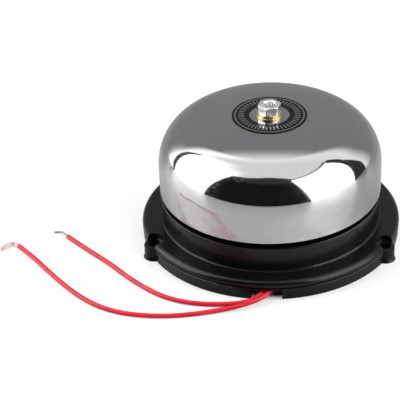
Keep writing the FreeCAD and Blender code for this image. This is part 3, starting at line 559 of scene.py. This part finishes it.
def along(line, count):
    """The line taken again at `count` even steps of its length, with its headings and sides."""
    steps = np.concatenate([[0.0], np.cumsum(np.linalg.norm(np.diff(line, axis=0), axis=1))])
    wanted = np.linspace(0.0, steps[-1], count)
    places = np.stack([np.interp(wanted, steps, line[:, axis]) for axis in range(3)], axis=-1)
    headings = np.gradient(places, axis=0)
    headings /= np.linalg.norm(headings, axis=1, keepdims=True)
    sides = np.cross([0.0, 0.0, 1.0], headings)
    sides /= np.linalg.norm(sides, axis=1, keepdims=True)
    return wanted, places, headings, sides


def wire_mesh(places, headings, sides, radius, columns=8):
    """A closed round wire: each place gets a ring in the plane of its side and upward directions."""
    turn = np.linspace(0.0, 2 * np.pi, columns, endpoint=False)
    ups = np.cross(headings, sides)
    ring = np.cos(turn)[None, :, None] * sides[:, None] + np.sin(turn)[None, :, None] * ups[:, None]
    points = (places[:, None] + radius * ring).reshape(-1, 3)
    faces = grid_faces(len(places), columns, False, True).tolist()
    first, last = list(range(columns)), list(range(len(points) - columns, len(points)))
    return points, faces + [first[::-1], last]


def join_meshes(parts):
    """Several (points, faces) pairs as one pair."""
    starts = np.cumsum([0] + [len(points) for points, _ in parts])
    faces = [
        [number + start for number in face] for (_, part), start in zip(parts, starts) for face in part
    ]
    return np.concatenate([points for points, _ in parts]), faces


def twisted_strands():
    """Strands that wind round the spline: each keeps off it by a circle that turns with the length."""
    length, places, headings, sides = along(spline_line(TWIST_ROUTE), 60)
    ups = np.cross(headings, sides)
    parts = []
    for number in range(TWIST_STRANDS):
        turn = 2 * np.pi * (number / TWIST_STRANDS + length / (TWIST_PITCH * MM))
        offset = TWIST_RADIUS * MM * (np.cos(turn)[:, None] * sides + np.sin(turn)[:, None] * ups)
        parts.append(wire_mesh(places + offset, headings, sides, TWIST_STRAND_RADIUS * MM))
    return join_meshes(parts)


def fanned_strands():
    """Strands side by side, each at its share of the fan's width, which changes along the spline.

    Each one also sways a little, and near the insulation they rise into a round bunch.
    """
    length, places, headings, sides = along(spline_line(FAN_ROUTE), 48)
    width = np.interp(length / length[-1], np.linspace(0, 1, len(FAN_WIDTHS)), FAN_WIDTHS)
    chance = np.random.default_rng(4)
    parts = []
    for number in range(FAN_STRANDS):
        share = (number + 0.5) / FAN_STRANDS - 0.5
        sway, lift = chance.uniform(-FAN_SWAY, FAN_SWAY, 2)
        phase = chance.uniform(0, 2 * np.pi)
        wander = sway * np.sin(phase + 3.0 * length / length[-1] * np.pi)
        bunch = np.sqrt(np.clip(0.25 - share**2, 0.0, None)) * np.exp(-length / (BUNCH_LENGTH * MM))
        shift = ((share * width + wander) * MM)[:, None] * sides
        rise = (BUNCH_RISE * bunch * (-1) ** number + abs(lift))[:, None] * np.array([0.0, 0.0, MM])
        end = len(places) - int(chance.integers(0, 5))
        strand = (places + shift + rise)[:end]
        parts.append(
            wire_mesh(strand, headings[:end], sides[:end], FAN_STRAND_RADIUS * MM, columns=6)
        )
    return join_meshes(parts)


tinned_copper, *_ = grained_material(
    "tinned_copper",
    dark=(0.24, 0.17, 0.15),
    light=(0.52, 0.42, 0.38),
    roughness=(0.30, 0.48),
    broad=700.0,
    fine=6000.0,
    relief=0.00002,
)
bare_copper, *_ = grained_material(
    "bare_copper",
    dark=(0.48, 0.37, 0.33),
    light=(0.86, 0.74, 0.69),
    roughness=(0.46, 0.60),
    broad=500.0,
    fine=6000.0,
    relief=0.00002,
)
strands_left = new_piece("strands_left", *twisted_strands(), tinned_copper)
strands_right = new_piece("strands_right", *fanned_strands(), bare_copper)
take_place(strands_left, "bare_strands_left")
take_place(strands_right, "bare_strands_right")
lay_lead("lead_left", LEFT_ROUTE, "lead_wire_left")
lay_lead("lead_right", RIGHT_ROUTE, "lead_wire_right")


# ---------------------------------------------------------------------------
# Base and back cover. The base is one moulding in satin black plastic with three
# screw lugs. The cover is a plain moulded plate in the same plastic, a little duller.
# ---------------------------------------------------------------------------


def dress(node, material):
    """Give a CAD node its finish."""
    NODES[node].material_slots[0].material = material


black_plastic, *_ = grained_material(
    "black_plastic",
    dark=(0.002, 0.002, 0.0024),
    light=(0.004, 0.004, 0.0044),
    roughness=(0.19, 0.26),
    broad=60.0,
    fine=2600.0,
    relief=0.000008,
    specular=0.25,
)
cover_plastic, *_ = grained_material(
    "black_plastic_cover",
    dark=(0.010, 0.010, 0.011),
    light=(0.022, 0.022, 0.023),
    roughness=(0.45, 0.60),
    broad=80.0,
    fine=1800.0,
    relief=0.00004,
    specular=0.5,
)
dress("base_housing", black_plastic)
dress("back_cover", cover_plastic)


# ---------------------------------------------------------------------------
# Gong. A dome pressed from steel sheet, plated and polished to a mirror: a near-upright
# side that is a little wavy from the press, a round shoulder, and a low crown that ends
# in a flat land under the washer.
# ---------------------------------------------------------------------------

DOME_RADIUS = 49.0
DOME_WALL = 1.2
RIM_HEIGHT = 22.95
RIM_INSET = 0.2
RIM_ROUND = 0.18
SHOULDER_HEIGHT = 35.95
SHOULDER_RADIUS = 20.0
LAND_RADIUS = 9.7
LAND_HEIGHT = 58.2
CROWN_RADIUS = 103.9
DOME_HOLE = 2.8
HOLE_EDGE = 0.15
DOME_COLUMNS = 288
SIDE_HAZE = 0.13
SIDE_WAVES = 110.0
SIDE_WAVE_DEPTH = 4.5
HAZE_HEIGHTS = (39.0, 33.0)


def dome_line(depth):
    """The gong's half section from its side to the hole, set in from the outer skin by the depth.

    Radius and height run up the side as a line, round the shoulder as an arc about
    (DOME_RADIUS - SHOULDER_RADIUS, SHOULDER_HEIGHT), over the crown as an arc about
    (LAND_RADIUS, LAND_HEIGHT - CROWN_RADIUS), and in along the flat land.
    """
    spread = DOME_RADIUS - SHOULDER_RADIUS - LAND_RADIUS
    meet = np.arctan2(SHOULDER_HEIGHT - LAND_HEIGHT + CROWN_RADIUS, spread)
    rise = np.linspace(0.06, 1.0, 14)
    side = np.stack(
        [
            DOME_RADIUS - RIM_INSET * (1 - rise) - depth,
            RIM_HEIGHT + (SHOULDER_HEIGHT - RIM_HEIGHT) * rise,
        ],
        axis=-1,
    )
    turn = np.linspace(0.0, meet, 49)[1:]
    bend = np.stack([np.cos(turn), np.sin(turn)], axis=-1) * (SHOULDER_RADIUS - depth)
    bend += (DOME_RADIUS - SHOULDER_RADIUS, SHOULDER_HEIGHT)
    turn = np.linspace(meet, np.pi / 2, 25)[1:]
    crown = np.stack([np.cos(turn), np.sin(turn)], axis=-1) * (CROWN_RADIUS - depth)
    crown += (LAND_RADIUS, LAND_HEIGHT - CROWN_RADIUS)
    inward = np.linspace(LAND_RADIUS, DOME_HOLE + HOLE_EDGE, 6)[1:]
    land = np.stack([inward, np.full(5, LAND_HEIGHT - depth)], axis=-1)
    return np.concatenate([side, bend, crown, land])


def soften(corners, reach, steps=4):
    """Round a closed outline: each corner gives way to a parabola that starts `reach` from it."""
    corners = np.asarray(corners, float)
    before, after = np.roll(corners, 1, axis=0) - corners, np.roll(corners, -1, axis=0) - corners
    before *= (reach / np.linalg.norm(before, axis=1))[:, None]
    after *= (reach / np.linalg.norm(after, axis=1))[:, None]
    t = np.linspace(0.0, 1.0, steps + 1)[None, :, None]
    return (corners[:, None] + (1 - t) ** 2 * before[:, None] + t**2 * after[:, None]).reshape(-1, 2)


def round_points(radius, bearing, height):
    """Places (radius cos bearing, radius sin bearing, height) in metres, on the grid that the three span."""
    grid = np.broadcast_arrays(radius * np.cos(bearing), radius * np.sin(bearing), height)
    return np.stack(grid, axis=-1).reshape(-1, 3) * MM


def lathe(outline, columns):
    """A ring turned about Z from a closed outline of (radius, height) that runs anticlockwise."""
    turn = np.linspace(0.0, 2 * np.pi, columns, endpoint=False)
    radius, height = np.asarray(outline).T[:, :, None]
    return round_points(radius, turn, height), grid_faces(len(outline), columns, True, True).tolist()


def gong_outline():
    """Outer skin, rounded hole edge, inner skin and rounded rim, as one closed outline."""
    outer, inner = dome_line(0.0), dome_line(DOME_WALL)[::-1]
    turn = np.linspace(0.0, np.pi, 9)
    rim_radius = DOME_RADIUS - RIM_INSET - DOME_WALL / 2
    rim_across = rim_radius - np.cos(turn) * DOME_WALL / 2
    rim = np.stack([rim_across, RIM_HEIGHT + RIM_ROUND - np.sin(turn) * RIM_ROUND], axis=-1)
    hole = np.array([(DOME_HOLE, LAND_HEIGHT - HOLE_EDGE), (DOME_HOLE, LAND_HEIGHT - DOME_WALL + HOLE_EDGE)])
    return np.concatenate([outer, hole, inner, rim])


# Circular lines left by polishing on a spindle: noise that changes with the distance from Z much
# faster than round it.
ROUND_STRETCH = 0.004
spindle_lines, spindle_in, spindle_out = new_group("spindle_lines", ["Vector", "Pitch"], ["Lines"])


def polar(tree, place):
    """Distance from Z, angle round it and height, of a place given as a vector output."""
    parts = add_node(tree, "ShaderNodeSeparateXYZ", {"Vector": place}).outputs
    flat = add_node(tree, "ShaderNodeCombineXYZ", {"X": parts["X"], "Y": parts["Y"]})
    radius = add_node(tree, "ShaderNodeVectorMath", {0: flat.outputs[0]}, operation="LENGTH")
    return radius.outputs["Value"], add_math(tree, "ARCTAN2", parts["Y"], parts["X"]), parts["Z"]


spindle_radius, spindle_angle, spindle_height = polar(spindle_lines, spindle_in.outputs["Vector"])
spindle_arc = add_math(spindle_lines, "MULTIPLY", spindle_angle, ROUND_STRETCH)
spindle_place = add_node(
    spindle_lines, "ShaderNodeCombineXYZ", {"X": spindle_radius, "Y": spindle_arc, "Z": spindle_height}
)
spindle_noise = add_node(
    spindle_lines,
    "ShaderNodeTexNoise",
    {"Vector": spindle_place.outputs[0], "Scale": spindle_in.outputs["Pitch"], "Detail": 2.0},
)
spindle_lines.links.new(spindle_noise.outputs["Fac"], spindle_out.inputs["Lines"])


def add_relief(tree, shader, group, pitch, depth):
    """Lay a group's relief, which has one pitch and one height output, over a material's normal."""
    place = add_node(tree, "ShaderNodeTexCoord")
    pattern = add_node(tree, "ShaderNodeGroup", node_tree=group)
    tree.links.new(place.outputs["Object"], pattern.inputs["Vector"])
    pattern.inputs["Pitch"].default_value = pitch
    under = shader.inputs["Normal"].links[0].from_socket
    relief = {"Height": pattern.outputs[0], "Strength": 1.0, "Distance": depth, "Normal": under}
    bump = add_node(tree, "ShaderNodeBump", relief)
    tree.links.new(bump.outputs["Normal"], shader.inputs["Normal"])


gong_steel, gong_tree, gong_shader = grained_material(
    "gong_steel",
    dark=(0.415, 0.417, 0.425),
    light=(0.445, 0.447, 0.453),
    roughness=(0.045, 0.10),
    broad=28.0,
    fine=900.0,
    relief=0.0000004,
)
add_relief(gong_tree, gong_shader, spindle_lines, pitch=1500.0, depth=0.0000006)
gong_place = add_node(gong_tree, "ShaderNodeTexCoord")
gong_parts = add_node(gong_tree, "ShaderNodeSeparateXYZ", {"Vector": gong_place.outputs["Object"]})
side_haze = add_node(
    gong_tree,
    "ShaderNodeMapRange",
    {
        "Value": gong_parts.outputs["Z"],
        "From Min": HAZE_HEIGHTS[0] * MM,
        "From Max": HAZE_HEIGHTS[1] * MM,
        "To Max": SIDE_HAZE,
    },
)
polish = gong_shader.inputs["Roughness"].links[0].from_socket
hazed = add_math(gong_tree, "ADD", polish, side_haze.outputs["Result"])
gong_tree.links.new(hazed, gong_shader.inputs["Roughness"])
side_wave = add_node(
    gong_tree,
    "ShaderNodeTexNoise",
    {"Vector": gong_place.outputs["Object"], "Scale": SIDE_WAVES, "Detail": 1.0},
)
even_wave = add_math(gong_tree, "SUBTRACT", side_wave.outputs["Fac"], 0.5)
wave_height = add_math(gong_tree, "MULTIPLY", even_wave, side_haze.outputs["Result"])
fine_normal = gong_shader.inputs["Normal"].links[0].from_socket
side_bump = add_node(
    gong_tree,
    "ShaderNodeBump",
    {"Height": wave_height, "Strength": 1.0, "Distance": SIDE_WAVE_DEPTH * MM, "Normal": fine_normal},
)
gong_tree.links.new(side_bump.outputs["Normal"], gong_shader.inputs["Normal"])
gong = new_piece("gong", *lathe(gong_outline(), DOME_COLUMNS), gong_steel)
take_place(gong, "gong_dome")


# ---------------------------------------------------------------------------
# Label. A thin glossy ring printed black, with a silver line near its edge and a plain
# scale of silver ticks, stuck on the crown round the washer.
# ---------------------------------------------------------------------------

LABEL_HOLE = 8.8
LABEL_RADIUS = 16.4
LABEL_THICKNESS = 0.2
LABEL_SINK = 0.02
LINE_RADIUS = 15.05
LINE_HALF_WIDTH = 0.22
TICK_RADIUS = 12.3
TICK_HALF_LENGTH = 1.3
TICK_COUNT = 48.0
TICK_HALF_WIDTH = 0.24
PRINT_EDGE = 0.04
SILVER = (0.42, 0.42, 0.43)


def crown_height(radius):
    """The crown's height at a radius: flat on the land, then the crown's arc."""
    run = np.clip(radius - LAND_RADIUS, 0.0, None)
    return LAND_HEIGHT - CROWN_RADIUS + np.sqrt(CROWN_RADIUS**2 - run**2)


label_out = np.linspace(LABEL_HOLE, LABEL_RADIUS, 13)
label_under = np.stack([label_out, crown_height(label_out) - LABEL_SINK], axis=-1)
label_face = np.stack([label_out[::-1], crown_height(label_out[::-1]) + LABEL_THICKNESS], axis=-1)
label_print, label_tree, label_shader = grained_material(
    "label_print",
    dark=(0.003, 0.003, 0.0035),
    light=(0.006, 0.006, 0.0065),
    roughness=(0.10, 0.18),
    broad=200.0,
    fine=3000.0,
    relief=0.000002,
    specular=0.16,
)
label_place = add_node(label_tree, "ShaderNodeTexCoord")
label_radius, label_angle, _ = polar(label_tree, label_place.outputs["Object"])


def band(tree, value, centre, half_width, soft):
    """1 where the value is within half_width of the centre, fading to 0 over `soft` at both edges."""
    away = add_math(tree, "ABSOLUTE", add_math(tree, "SUBTRACT", value, centre))
    ends = {"Value": away, "From Min": half_width + soft, "From Max": half_width}
    return add_node(tree, "ShaderNodeMapRange", ends).outputs["Result"]


line_mask = band(label_tree, label_radius, LINE_RADIUS * MM, LINE_HALF_WIDTH * MM, PRINT_EDGE * MM)
tick_band = band(label_tree, label_radius, TICK_RADIUS * MM, TICK_HALF_LENGTH * MM, PRINT_EDGE * MM)
tick_turns = add_math(label_tree, "MULTIPLY", label_angle, TICK_COUNT / (2 * np.pi))
tick_share = add_math(label_tree, "FLOORED_MODULO", tick_turns, 1.0)
tick_half = TICK_HALF_WIDTH * TICK_COUNT / (2 * np.pi * TICK_RADIUS)
tick_mask = band(label_tree, tick_share, 0.5, tick_half, 0.02)
ticks = add_math(label_tree, "MULTIPLY", tick_band, tick_mask)
silver = add_math(label_tree, "MAXIMUM", ticks, line_mask)
black_ink = label_shader.inputs["Base Color"].links[0].from_socket
printed = add_node(
    label_tree,
    "ShaderNodeMix",
    {"Factor": silver, "A": black_ink, "B": (*SILVER, 1.0)},
    data_type="RGBA",
)
label_tree.links.new(printed.outputs["Result"], label_shader.inputs["Base Color"])
label_tree.links.new(silver, label_shader.inputs["Metallic"])
label = new_piece("label", *lathe(np.concatenate([label_under, label_face]), 192), label_print)
take_place(label, "label_ring")


# ---------------------------------------------------------------------------
# Washers. A plain washer lies on the gong and a split spring washer on it, both in
# yellow zinc. The spring washer's cut is turned to the back.
# ---------------------------------------------------------------------------

WASHER_BORE = 2.7
WASHER_RADIUS = 5.8
WASHER_HEIGHT = 0.7
WASHER_TOP = 58.9
WASHER_EDGE = 0.18
SPRING_WASHER_RADIUS = 5.1
SPRING_WASHER_TOP = 59.9
SPRING_WASHER_CUT = 0.8
SPRING_WASHER_SHEAR = 0.08
SPRING_WASHER_EDGE = 0.16


def plain_washer(name, top, height, material, node):
    """A stamped washer with softened edges."""
    foot = top - height
    corners = [(WASHER_BORE, foot), (WASHER_RADIUS, foot), (WASHER_RADIUS, top), (WASHER_BORE, top)]
    take_place(new_piece(name, *lathe(soften(corners, WASHER_EDGE), 96), material), node)


def split_washer():
    """A bar of softened square section bent round Z, from one side of the cut to the other."""
    corners = [
        (WASHER_BORE, WASHER_TOP),
        (SPRING_WASHER_RADIUS, WASHER_TOP),
        (SPRING_WASHER_RADIUS, SPRING_WASHER_TOP),
        (WASHER_BORE, SPRING_WASHER_TOP),
    ]
    outline = soften(corners, SPRING_WASHER_EDGE)
    half_cut = SPRING_WASHER_CUT / 2 / ((WASHER_BORE + SPRING_WASHER_RADIUS) / 2)
    rows, columns = len(outline), 97
    turn = np.linspace(np.pi / 2 + half_cut, 5 * np.pi / 2 - half_cut, columns)
    radius, height = outline.T[:, :, None]
    shear = (height - WASHER_TOP) * SPRING_WASHER_SHEAR
    faces = grid_faces(rows, columns, True, False).tolist()
    start = list(range(0, rows * columns, columns))
    end = list(range(columns - 1, rows * columns, columns))
    return round_points(radius, turn + shear, height), faces + [start, end[::-1]]


gold_zinc, gold_tree, gold_shader = grained_material(
    "gold_zinc",
    dark=(0.40, 0.34, 0.17),
    light=(0.66, 0.60, 0.38),
    roughness=(0.22, 0.34),
    broad=260.0,
    fine=3200.0,
    relief=0.000006,
)
add_relief(gold_tree, gold_shader, spindle_lines, pitch=5200.0, depth=0.000006)
plain_washer("gong_washer", WASHER_TOP, WASHER_HEIGHT, gold_zinc, "flat_washer")
take_place(new_piece("split_washer", *split_washer(), gold_zinc), "spring_washer")


# ---------------------------------------------------------------------------
# Nuts. The gong's nut is bright nickel, cold-formed with well-rounded top corners. Two
# thin zinc nuts lock the stud to the core and carry the gong from below.
# ---------------------------------------------------------------------------

NUT_WIDTH = 9.0
NUT_TURN = 15.3
NUT_SEAT = 59.9
NUT_TOP = 63.6
THIN_NUT_WIDTH = 8.0
THIN_NUT_HEIGHT = 2.7
THIN_NUT_SEATS = {"lock_nut": 47.75, "seat_nut": 53.3}
SEAT_WASHER_TOP = 57.0
SEAT_WASHER_HEIGHT = 1.0
NUT_BORE = 2.55
NUT_CHAMFER = 0.37
NUT_CROWN = 0.45
BORE_CHAMFER = (0.35, 0.3)
CORNER_SHARE = 0.1547
CORNER_CUT = 0.10
FACE_INSET = 0.35


def hexagon_nut(width, turn_degrees, seat, top, crown):
    """A hexagon cut by a cone at both faces.

    At each bearing the radius is half the width over the cosine of the bearing's distance from the
    nearest flat, and it is never more than the cone's, which widens away from each face.
    """
    half = width / 2
    corner = half * CORNER_SHARE
    bearing = np.linspace(0.0, 2 * np.pi, 144, endpoint=False)
    off_flat = bearing % (np.pi / 3) - np.pi / 6
    hexagon = half / np.cos(off_flat)
    hexagon = np.minimum(hexagon, half / np.cos(np.pi / 6) - CORNER_CUT)
    depth = crown * np.linspace(0.0, 1.0, 8) ** 1.4
    upper = half - FACE_INSET + (corner + FACE_INSET) * np.sin(np.linspace(0.0, np.pi / 2, 8))
    lower_depth = NUT_CHAMFER * np.linspace(0.0, 1.0, 4)
    lower = half + corner * np.linspace(0.0, 1.0, 4)
    mouth = [NUT_BORE + BORE_CHAMFER[0]]
    heights = np.concatenate([[seat], seat + lower_depth, top - depth[::-1], [top]])
    limits = np.concatenate([mouth, lower, upper[::-1], mouth])
    radius = np.minimum(hexagon[None, :], limits[:, None])
    bore = np.array([(NUT_BORE, top - BORE_CHAMFER[1]), (NUT_BORE, seat + BORE_CHAMFER[1])])
    radius = np.concatenate([radius, np.repeat(bore[:, :1], len(bearing), axis=1)])
    heights = np.concatenate([heights, bore[:, 1]])
    points = round_points(radius, bearing + np.radians(turn_degrees), heights[:, None])
    return points, grid_faces(len(heights), len(bearing), True, True).tolist()


bright_nut, *_ = grained_material(
    "bright_nut",
    dark=(0.80, 0.80, 0.78),
    light=(0.94, 0.94, 0.92),
    roughness=(0.26, 0.40),
    broad=300.0,
    fine=2600.0,
    relief=0.000004,
)
zinc_steel, *_ = grained_material(
    "zinc_steel",
    dark=(0.46, 0.47, 0.49),
    light=(0.66, 0.67, 0.69),
    roughness=(0.26, 0.42),
    broad=350.0,
    fine=3000.0,
    relief=0.00001,
)
gong_nut = hexagon_nut(NUT_WIDTH, NUT_TURN, NUT_SEAT, NUT_TOP, NUT_CROWN)
take_place(new_piece("gong_nut", *gong_nut, bright_nut), "dome_nut")
for name, node in (("lock_nut", "stud_lock_nut"), ("seat_nut", "dome_support_nut")):
    seat = THIN_NUT_SEATS[name]
    thin_nut = hexagon_nut(THIN_NUT_WIDTH, 0.0, seat, seat + THIN_NUT_HEIGHT, NUT_CHAMFER)
    take_place(new_piece(name, *thin_nut, zinc_steel), node)
for name, top, height, node in (
    ("lock_washer", THIN_NUT_SEATS["lock_nut"], WASHER_HEIGHT, "stud_lock_washer"),
    ("seat_washer", SEAT_WASHER_TOP, SEAT_WASHER_HEIGHT, "dome_support_washer"),
):
    plain_washer(name, top, height, zinc_steel, node)


# ---------------------------------------------------------------------------
# Centre stud. An M5 zinc-plated screw: a hexagon head under the solenoid's frame, a
# rolled thread, and a flat end with a centre mark, which shows in the gong's nut.
# ---------------------------------------------------------------------------

STUD_RADIUS = 2.5
STUD_HEAD = (37.65, 40.65)
STUD_HEAD_WIDTH = 8.0
STUD_END = 63.0
THREAD_PITCH = 0.8
THREAD_DEPTH = 0.3
STUD_CAP = [(2.2, 0.08), (2.12, 0.0), (1.25, 0.0), (1.12, 0.10), (0.95, 1.3), (0.75, 1.6)]


def threaded_shank():
    """The thread: the radius falls and rises once per pitch along a line that turns with the height.

    Its foot is closed inside the head. Its end is chamfered, with a small countersunk mark.
    """
    columns = 48
    turn = np.linspace(0.0, 2 * np.pi, columns, endpoint=False)
    heights = np.linspace(STUD_HEAD[1] - 0.05, STUD_END - 0.35, 240)
    phase = (heights[:, None] / THREAD_PITCH - turn / (2 * np.pi)) % 1.0
    groove = np.clip(1.15 - 2.6 * np.abs(phase - 0.5), 0.0, 1.0)
    radius = STUD_RADIUS - THREAD_DEPTH * groove
    cap_radius, cap_depth = np.array(STUD_CAP).T
    radius = np.concatenate([radius, np.repeat(cap_radius[:, None], columns, axis=1)])
    heights = np.concatenate([heights, STUD_END - cap_depth])
    count = len(heights) * columns
    middles = MM * np.array([(0, 0, heights[0]), (0, 0, heights[-1])])
    points = np.concatenate([round_points(radius, turn, heights[:, None]), middles])
    column = np.arange(columns)
    foot = np.stack([np.full(columns, count), (column + 1) % columns, column], axis=-1)
    last = count - columns
    end = np.stack([np.full(columns, count + 1), last + column, last + (column + 1) % columns], axis=-1)
    faces = grid_faces(len(heights), columns, False, True).tolist()
    return points, faces + foot.tolist() + end.tolist()


def stud_head():
    """A solid hexagon, cut by a cone at both faces: four rings of its outline, closed at foot and top."""
    columns = 72
    bearing = np.linspace(0.0, 2 * np.pi, columns, endpoint=False)
    half = STUD_HEAD_WIDTH / 2
    hexagon = half / np.cos(bearing % (np.pi / 3) - np.pi / 6)
    low, high = STUD_HEAD
    limits = np.array([half, half * 1.16, half * 1.16, half])
    heights = np.array([low, low + 0.35, high - 0.2, high])
    radius = np.minimum(hexagon, limits[:, None])
    faces = grid_faces(4, columns, False, True).tolist()
    foot, top = list(range(columns))[::-1], list(range(3 * columns, 4 * columns))
    return round_points(radius, bearing, heights[:, None]), faces + [foot, top]


stud = new_piece("stud", *join_meshes([threaded_shank(), stud_head()]), zinc_steel)
take_place(stud, "centre_stud")


# ---------------------------------------------------------------------------
# Solenoid. A bent steel strip closes the magnetic path round a nylon bobbin. The coil is
# lacquered copper wire under a wrap of tape, and its fixed stop is a turned iron pole.
# ---------------------------------------------------------------------------

WIRE_PITCH = 0.28
TAPE_PITCH = 5.0
TURNING_PITCH = 0.22

# Ridges that follow each other along X, such as the turns of a coil wound round that axis.
wound_turns, wound_in, wound_out = new_group("wound_turns", ["Vector", "Pitch"], ["Ridge"])
wound_parts = add_node(wound_turns, "ShaderNodeSeparateXYZ", {"Vector": wound_in.outputs["Vector"]})
wound_share = add_math(wound_turns, "DIVIDE", wound_parts.outputs["X"], wound_in.outputs["Pitch"])
wound_wave = add_math(wound_turns, "SINE", add_math(wound_turns, "MULTIPLY", wound_share, np.pi))
wound_ridge = add_math(wound_turns, "ABSOLUTE", wound_wave)
wound_turns.links.new(wound_ridge, wound_out.inputs["Ridge"])

frame_steel, *_ = grained_material(
    "frame_steel",
    dark=(0.40, 0.41, 0.43),
    light=(0.58, 0.59, 0.60),
    roughness=(0.32, 0.48),
    broad=120.0,
    fine=2400.0,
    relief=0.000012,
)
white_nylon, *_ = grained_material(
    "white_nylon",
    dark=(0.70, 0.69, 0.64),
    light=(0.80, 0.79, 0.75),
    roughness=(0.38, 0.50),
    broad=120.0,
    fine=1800.0,
    relief=0.00001,
    specular=0.45,
)
copper_wire, copper_tree, copper_shader = grained_material(
    "copper_wire",
    dark=(0.48, 0.17, 0.07),
    light=(0.66, 0.27, 0.12),
    roughness=(0.20, 0.32),
    broad=260.0,
    fine=3200.0,
    relief=0.000004,
)
add_relief(copper_tree, copper_shader, wound_turns, WIRE_PITCH * MM, 0.0001)
coil_wrap, wrap_tree, wrap_shader = grained_material(
    "coil_tape",
    dark=(0.58, 0.38, 0.05),
    light=(0.70, 0.50, 0.09),
    roughness=(0.22, 0.34),
    broad=160.0,
    fine=1500.0,
    relief=0.00001,
    specular=0.5,
)
add_relief(wrap_tree, wrap_shader, wound_turns, TAPE_PITCH * MM, 0.00006)
soft_iron, iron_tree, iron_shader = grained_material(
    "soft_iron",
    dark=(0.30, 0.30, 0.31),
    light=(0.46, 0.46, 0.47),
    roughness=(0.26, 0.40),
    broad=180.0,
    fine=2400.0,
    relief=0.000008,
)
add_relief(iron_tree, iron_shader, wound_turns, TURNING_PITCH * MM, 0.00001)
coil_sleeve, *_ = grained_material(
    "coil_lead_sleeve",
    dark=(0.012, 0.012, 0.013),
    light=(0.022, 0.022, 0.024),
    roughness=(0.34, 0.46),
    broad=300.0,
    fine=2600.0,
    relief=0.00001,
    specular=0.45,
)
dress("solenoid_frame", frame_steel)
dress("coil_bobbin", white_nylon)
dress("coil_winding", copper_wire)
dress("coil_tape", coil_wrap)
dress("pole_piece", soft_iron)
dress("coil_lead_left", coil_sleeve)
dress("coil_lead_right", coil_sleeve)


# ---------------------------------------------------------------------------
# Striker and its guide. The plunger is soft iron on a ground steel rod with a moulded
# nylon tip. A brass bush guides the rod, and a rubber plug stops the plunger behind.
# ---------------------------------------------------------------------------

rod_steel, *_ = grained_material(
    "rod_steel",
    dark=(0.54, 0.54, 0.55),
    light=(0.68, 0.68, 0.69),
    roughness=(0.14, 0.24),
    broad=240.0,
    fine=3600.0,
    relief=0.000004,
)
striker_nylon, *_ = grained_material(
    "striker_nylon",
    dark=(0.62, 0.60, 0.52),
    light=(0.76, 0.74, 0.66),
    roughness=(0.34, 0.46),
    broad=260.0,
    fine=2200.0,
    relief=0.00001,
    specular=0.45,
)
brass, *_ = grained_material(
    "brass",
    dark=(0.60, 0.42, 0.14),
    light=(0.78, 0.60, 0.26),
    roughness=(0.20, 0.34),
    broad=260.0,
    fine=3000.0,
    relief=0.000006,
)
buffer_rubber, *_ = grained_material(
    "buffer_rubber",
    dark=(0.010, 0.010, 0.010),
    light=(0.026, 0.026, 0.026),
    roughness=(0.68, 0.84),
    broad=320.0,
    fine=2400.0,
    relief=0.00003,
    specular=0.35,
)
dress("plunger", soft_iron)
dress("push_rod", rod_steel)
dress("striker_tip", striker_nylon)
dress("spring_collar", brass)
dress("guide_bush", brass)
dress("rear_buffer", buffer_rubber)


# ---------------------------------------------------------------------------
# Return spring. Hard-drawn steel wire wound round the rod between the striker's collar
# and the guide bush. It closes up as the striker moves out, but here it is one still shape
# on the body that stays still.
# ---------------------------------------------------------------------------

SPRING_START = 24.75
SPRING_END = 31.55
SPRING_RADIUS = 2.4
SPRING_WIRE = 0.25
SPRING_TURNS = 4.5
SPRING_AXIS = 27.15


def wound_spring():
    """A round wire along a helix about the strike axis: x grows with the angle, y and z go round it."""
    turn = np.linspace(0.0, 2 * np.pi * SPRING_TURNS, 220)
    share = turn / turn[-1]
    run = SPRING_END - SPRING_START - 2 * SPRING_WIRE
    places = np.stack(
        [
            SPRING_START + SPRING_WIRE + run * share,
            SPRING_RADIUS * np.cos(turn),
            SPRING_AXIS + SPRING_RADIUS * np.sin(turn),
        ],
        axis=-1,
    )
    forward = np.full_like(turn, run / turn[-1])
    headings = np.stack([forward, -SPRING_RADIUS * np.sin(turn), SPRING_RADIUS * np.cos(turn)], axis=-1)
    headings /= np.linalg.norm(headings, axis=1, keepdims=True)
    outward = np.stack([np.zeros_like(turn), np.cos(turn), np.sin(turn)], axis=-1)
    return wire_mesh(places * MM, headings, outward, SPRING_WIRE * MM, columns=12)


spring_steel, *_ = grained_material(
    "spring_steel",
    dark=(0.42, 0.42, 0.43),
    light=(0.60, 0.60, 0.61),
    roughness=(0.20, 0.32),
    broad=400.0,
    fine=4000.0,
    relief=0.000004,
)
spring = new_piece("spring", *wound_spring(), spring_steel)
take_place(spring, "return_spring")
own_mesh(spring)


# ---------------------------------------------------------------------------
# Terminal board and clamp. A board of brown paper laminate carries the brass solder tags
# and the diode, and a strip of the same laminate clamps the leads. All screws are zinc steel.
# ---------------------------------------------------------------------------

board_laminate, *_ = grained_material(
    "board_laminate",
    dark=(0.16, 0.070, 0.030),
    light=(0.25, 0.120, 0.055),
    roughness=(0.36, 0.50),
    broad=300.0,
    fine=4200.0,
    relief=0.00001,
    specular=0.5,
)
diode_black, *_ = grained_material(
    "diode_black",
    dark=(0.008, 0.008, 0.009),
    light=(0.016, 0.016, 0.017),
    roughness=(0.26, 0.38),
    broad=500.0,
    fine=4000.0,
    relief=0.000006,
    specular=0.5,
)
dress("terminal_board", board_laminate)
dress("lead_clamp", board_laminate)
dress("terminal_tags", brass)
dress("rectifier_diode", diode_black)
dress("board_screws", zinc_steel)
dress("clamp_screws", zinc_steel)
dress("back_cover_screws", zinc_steel)
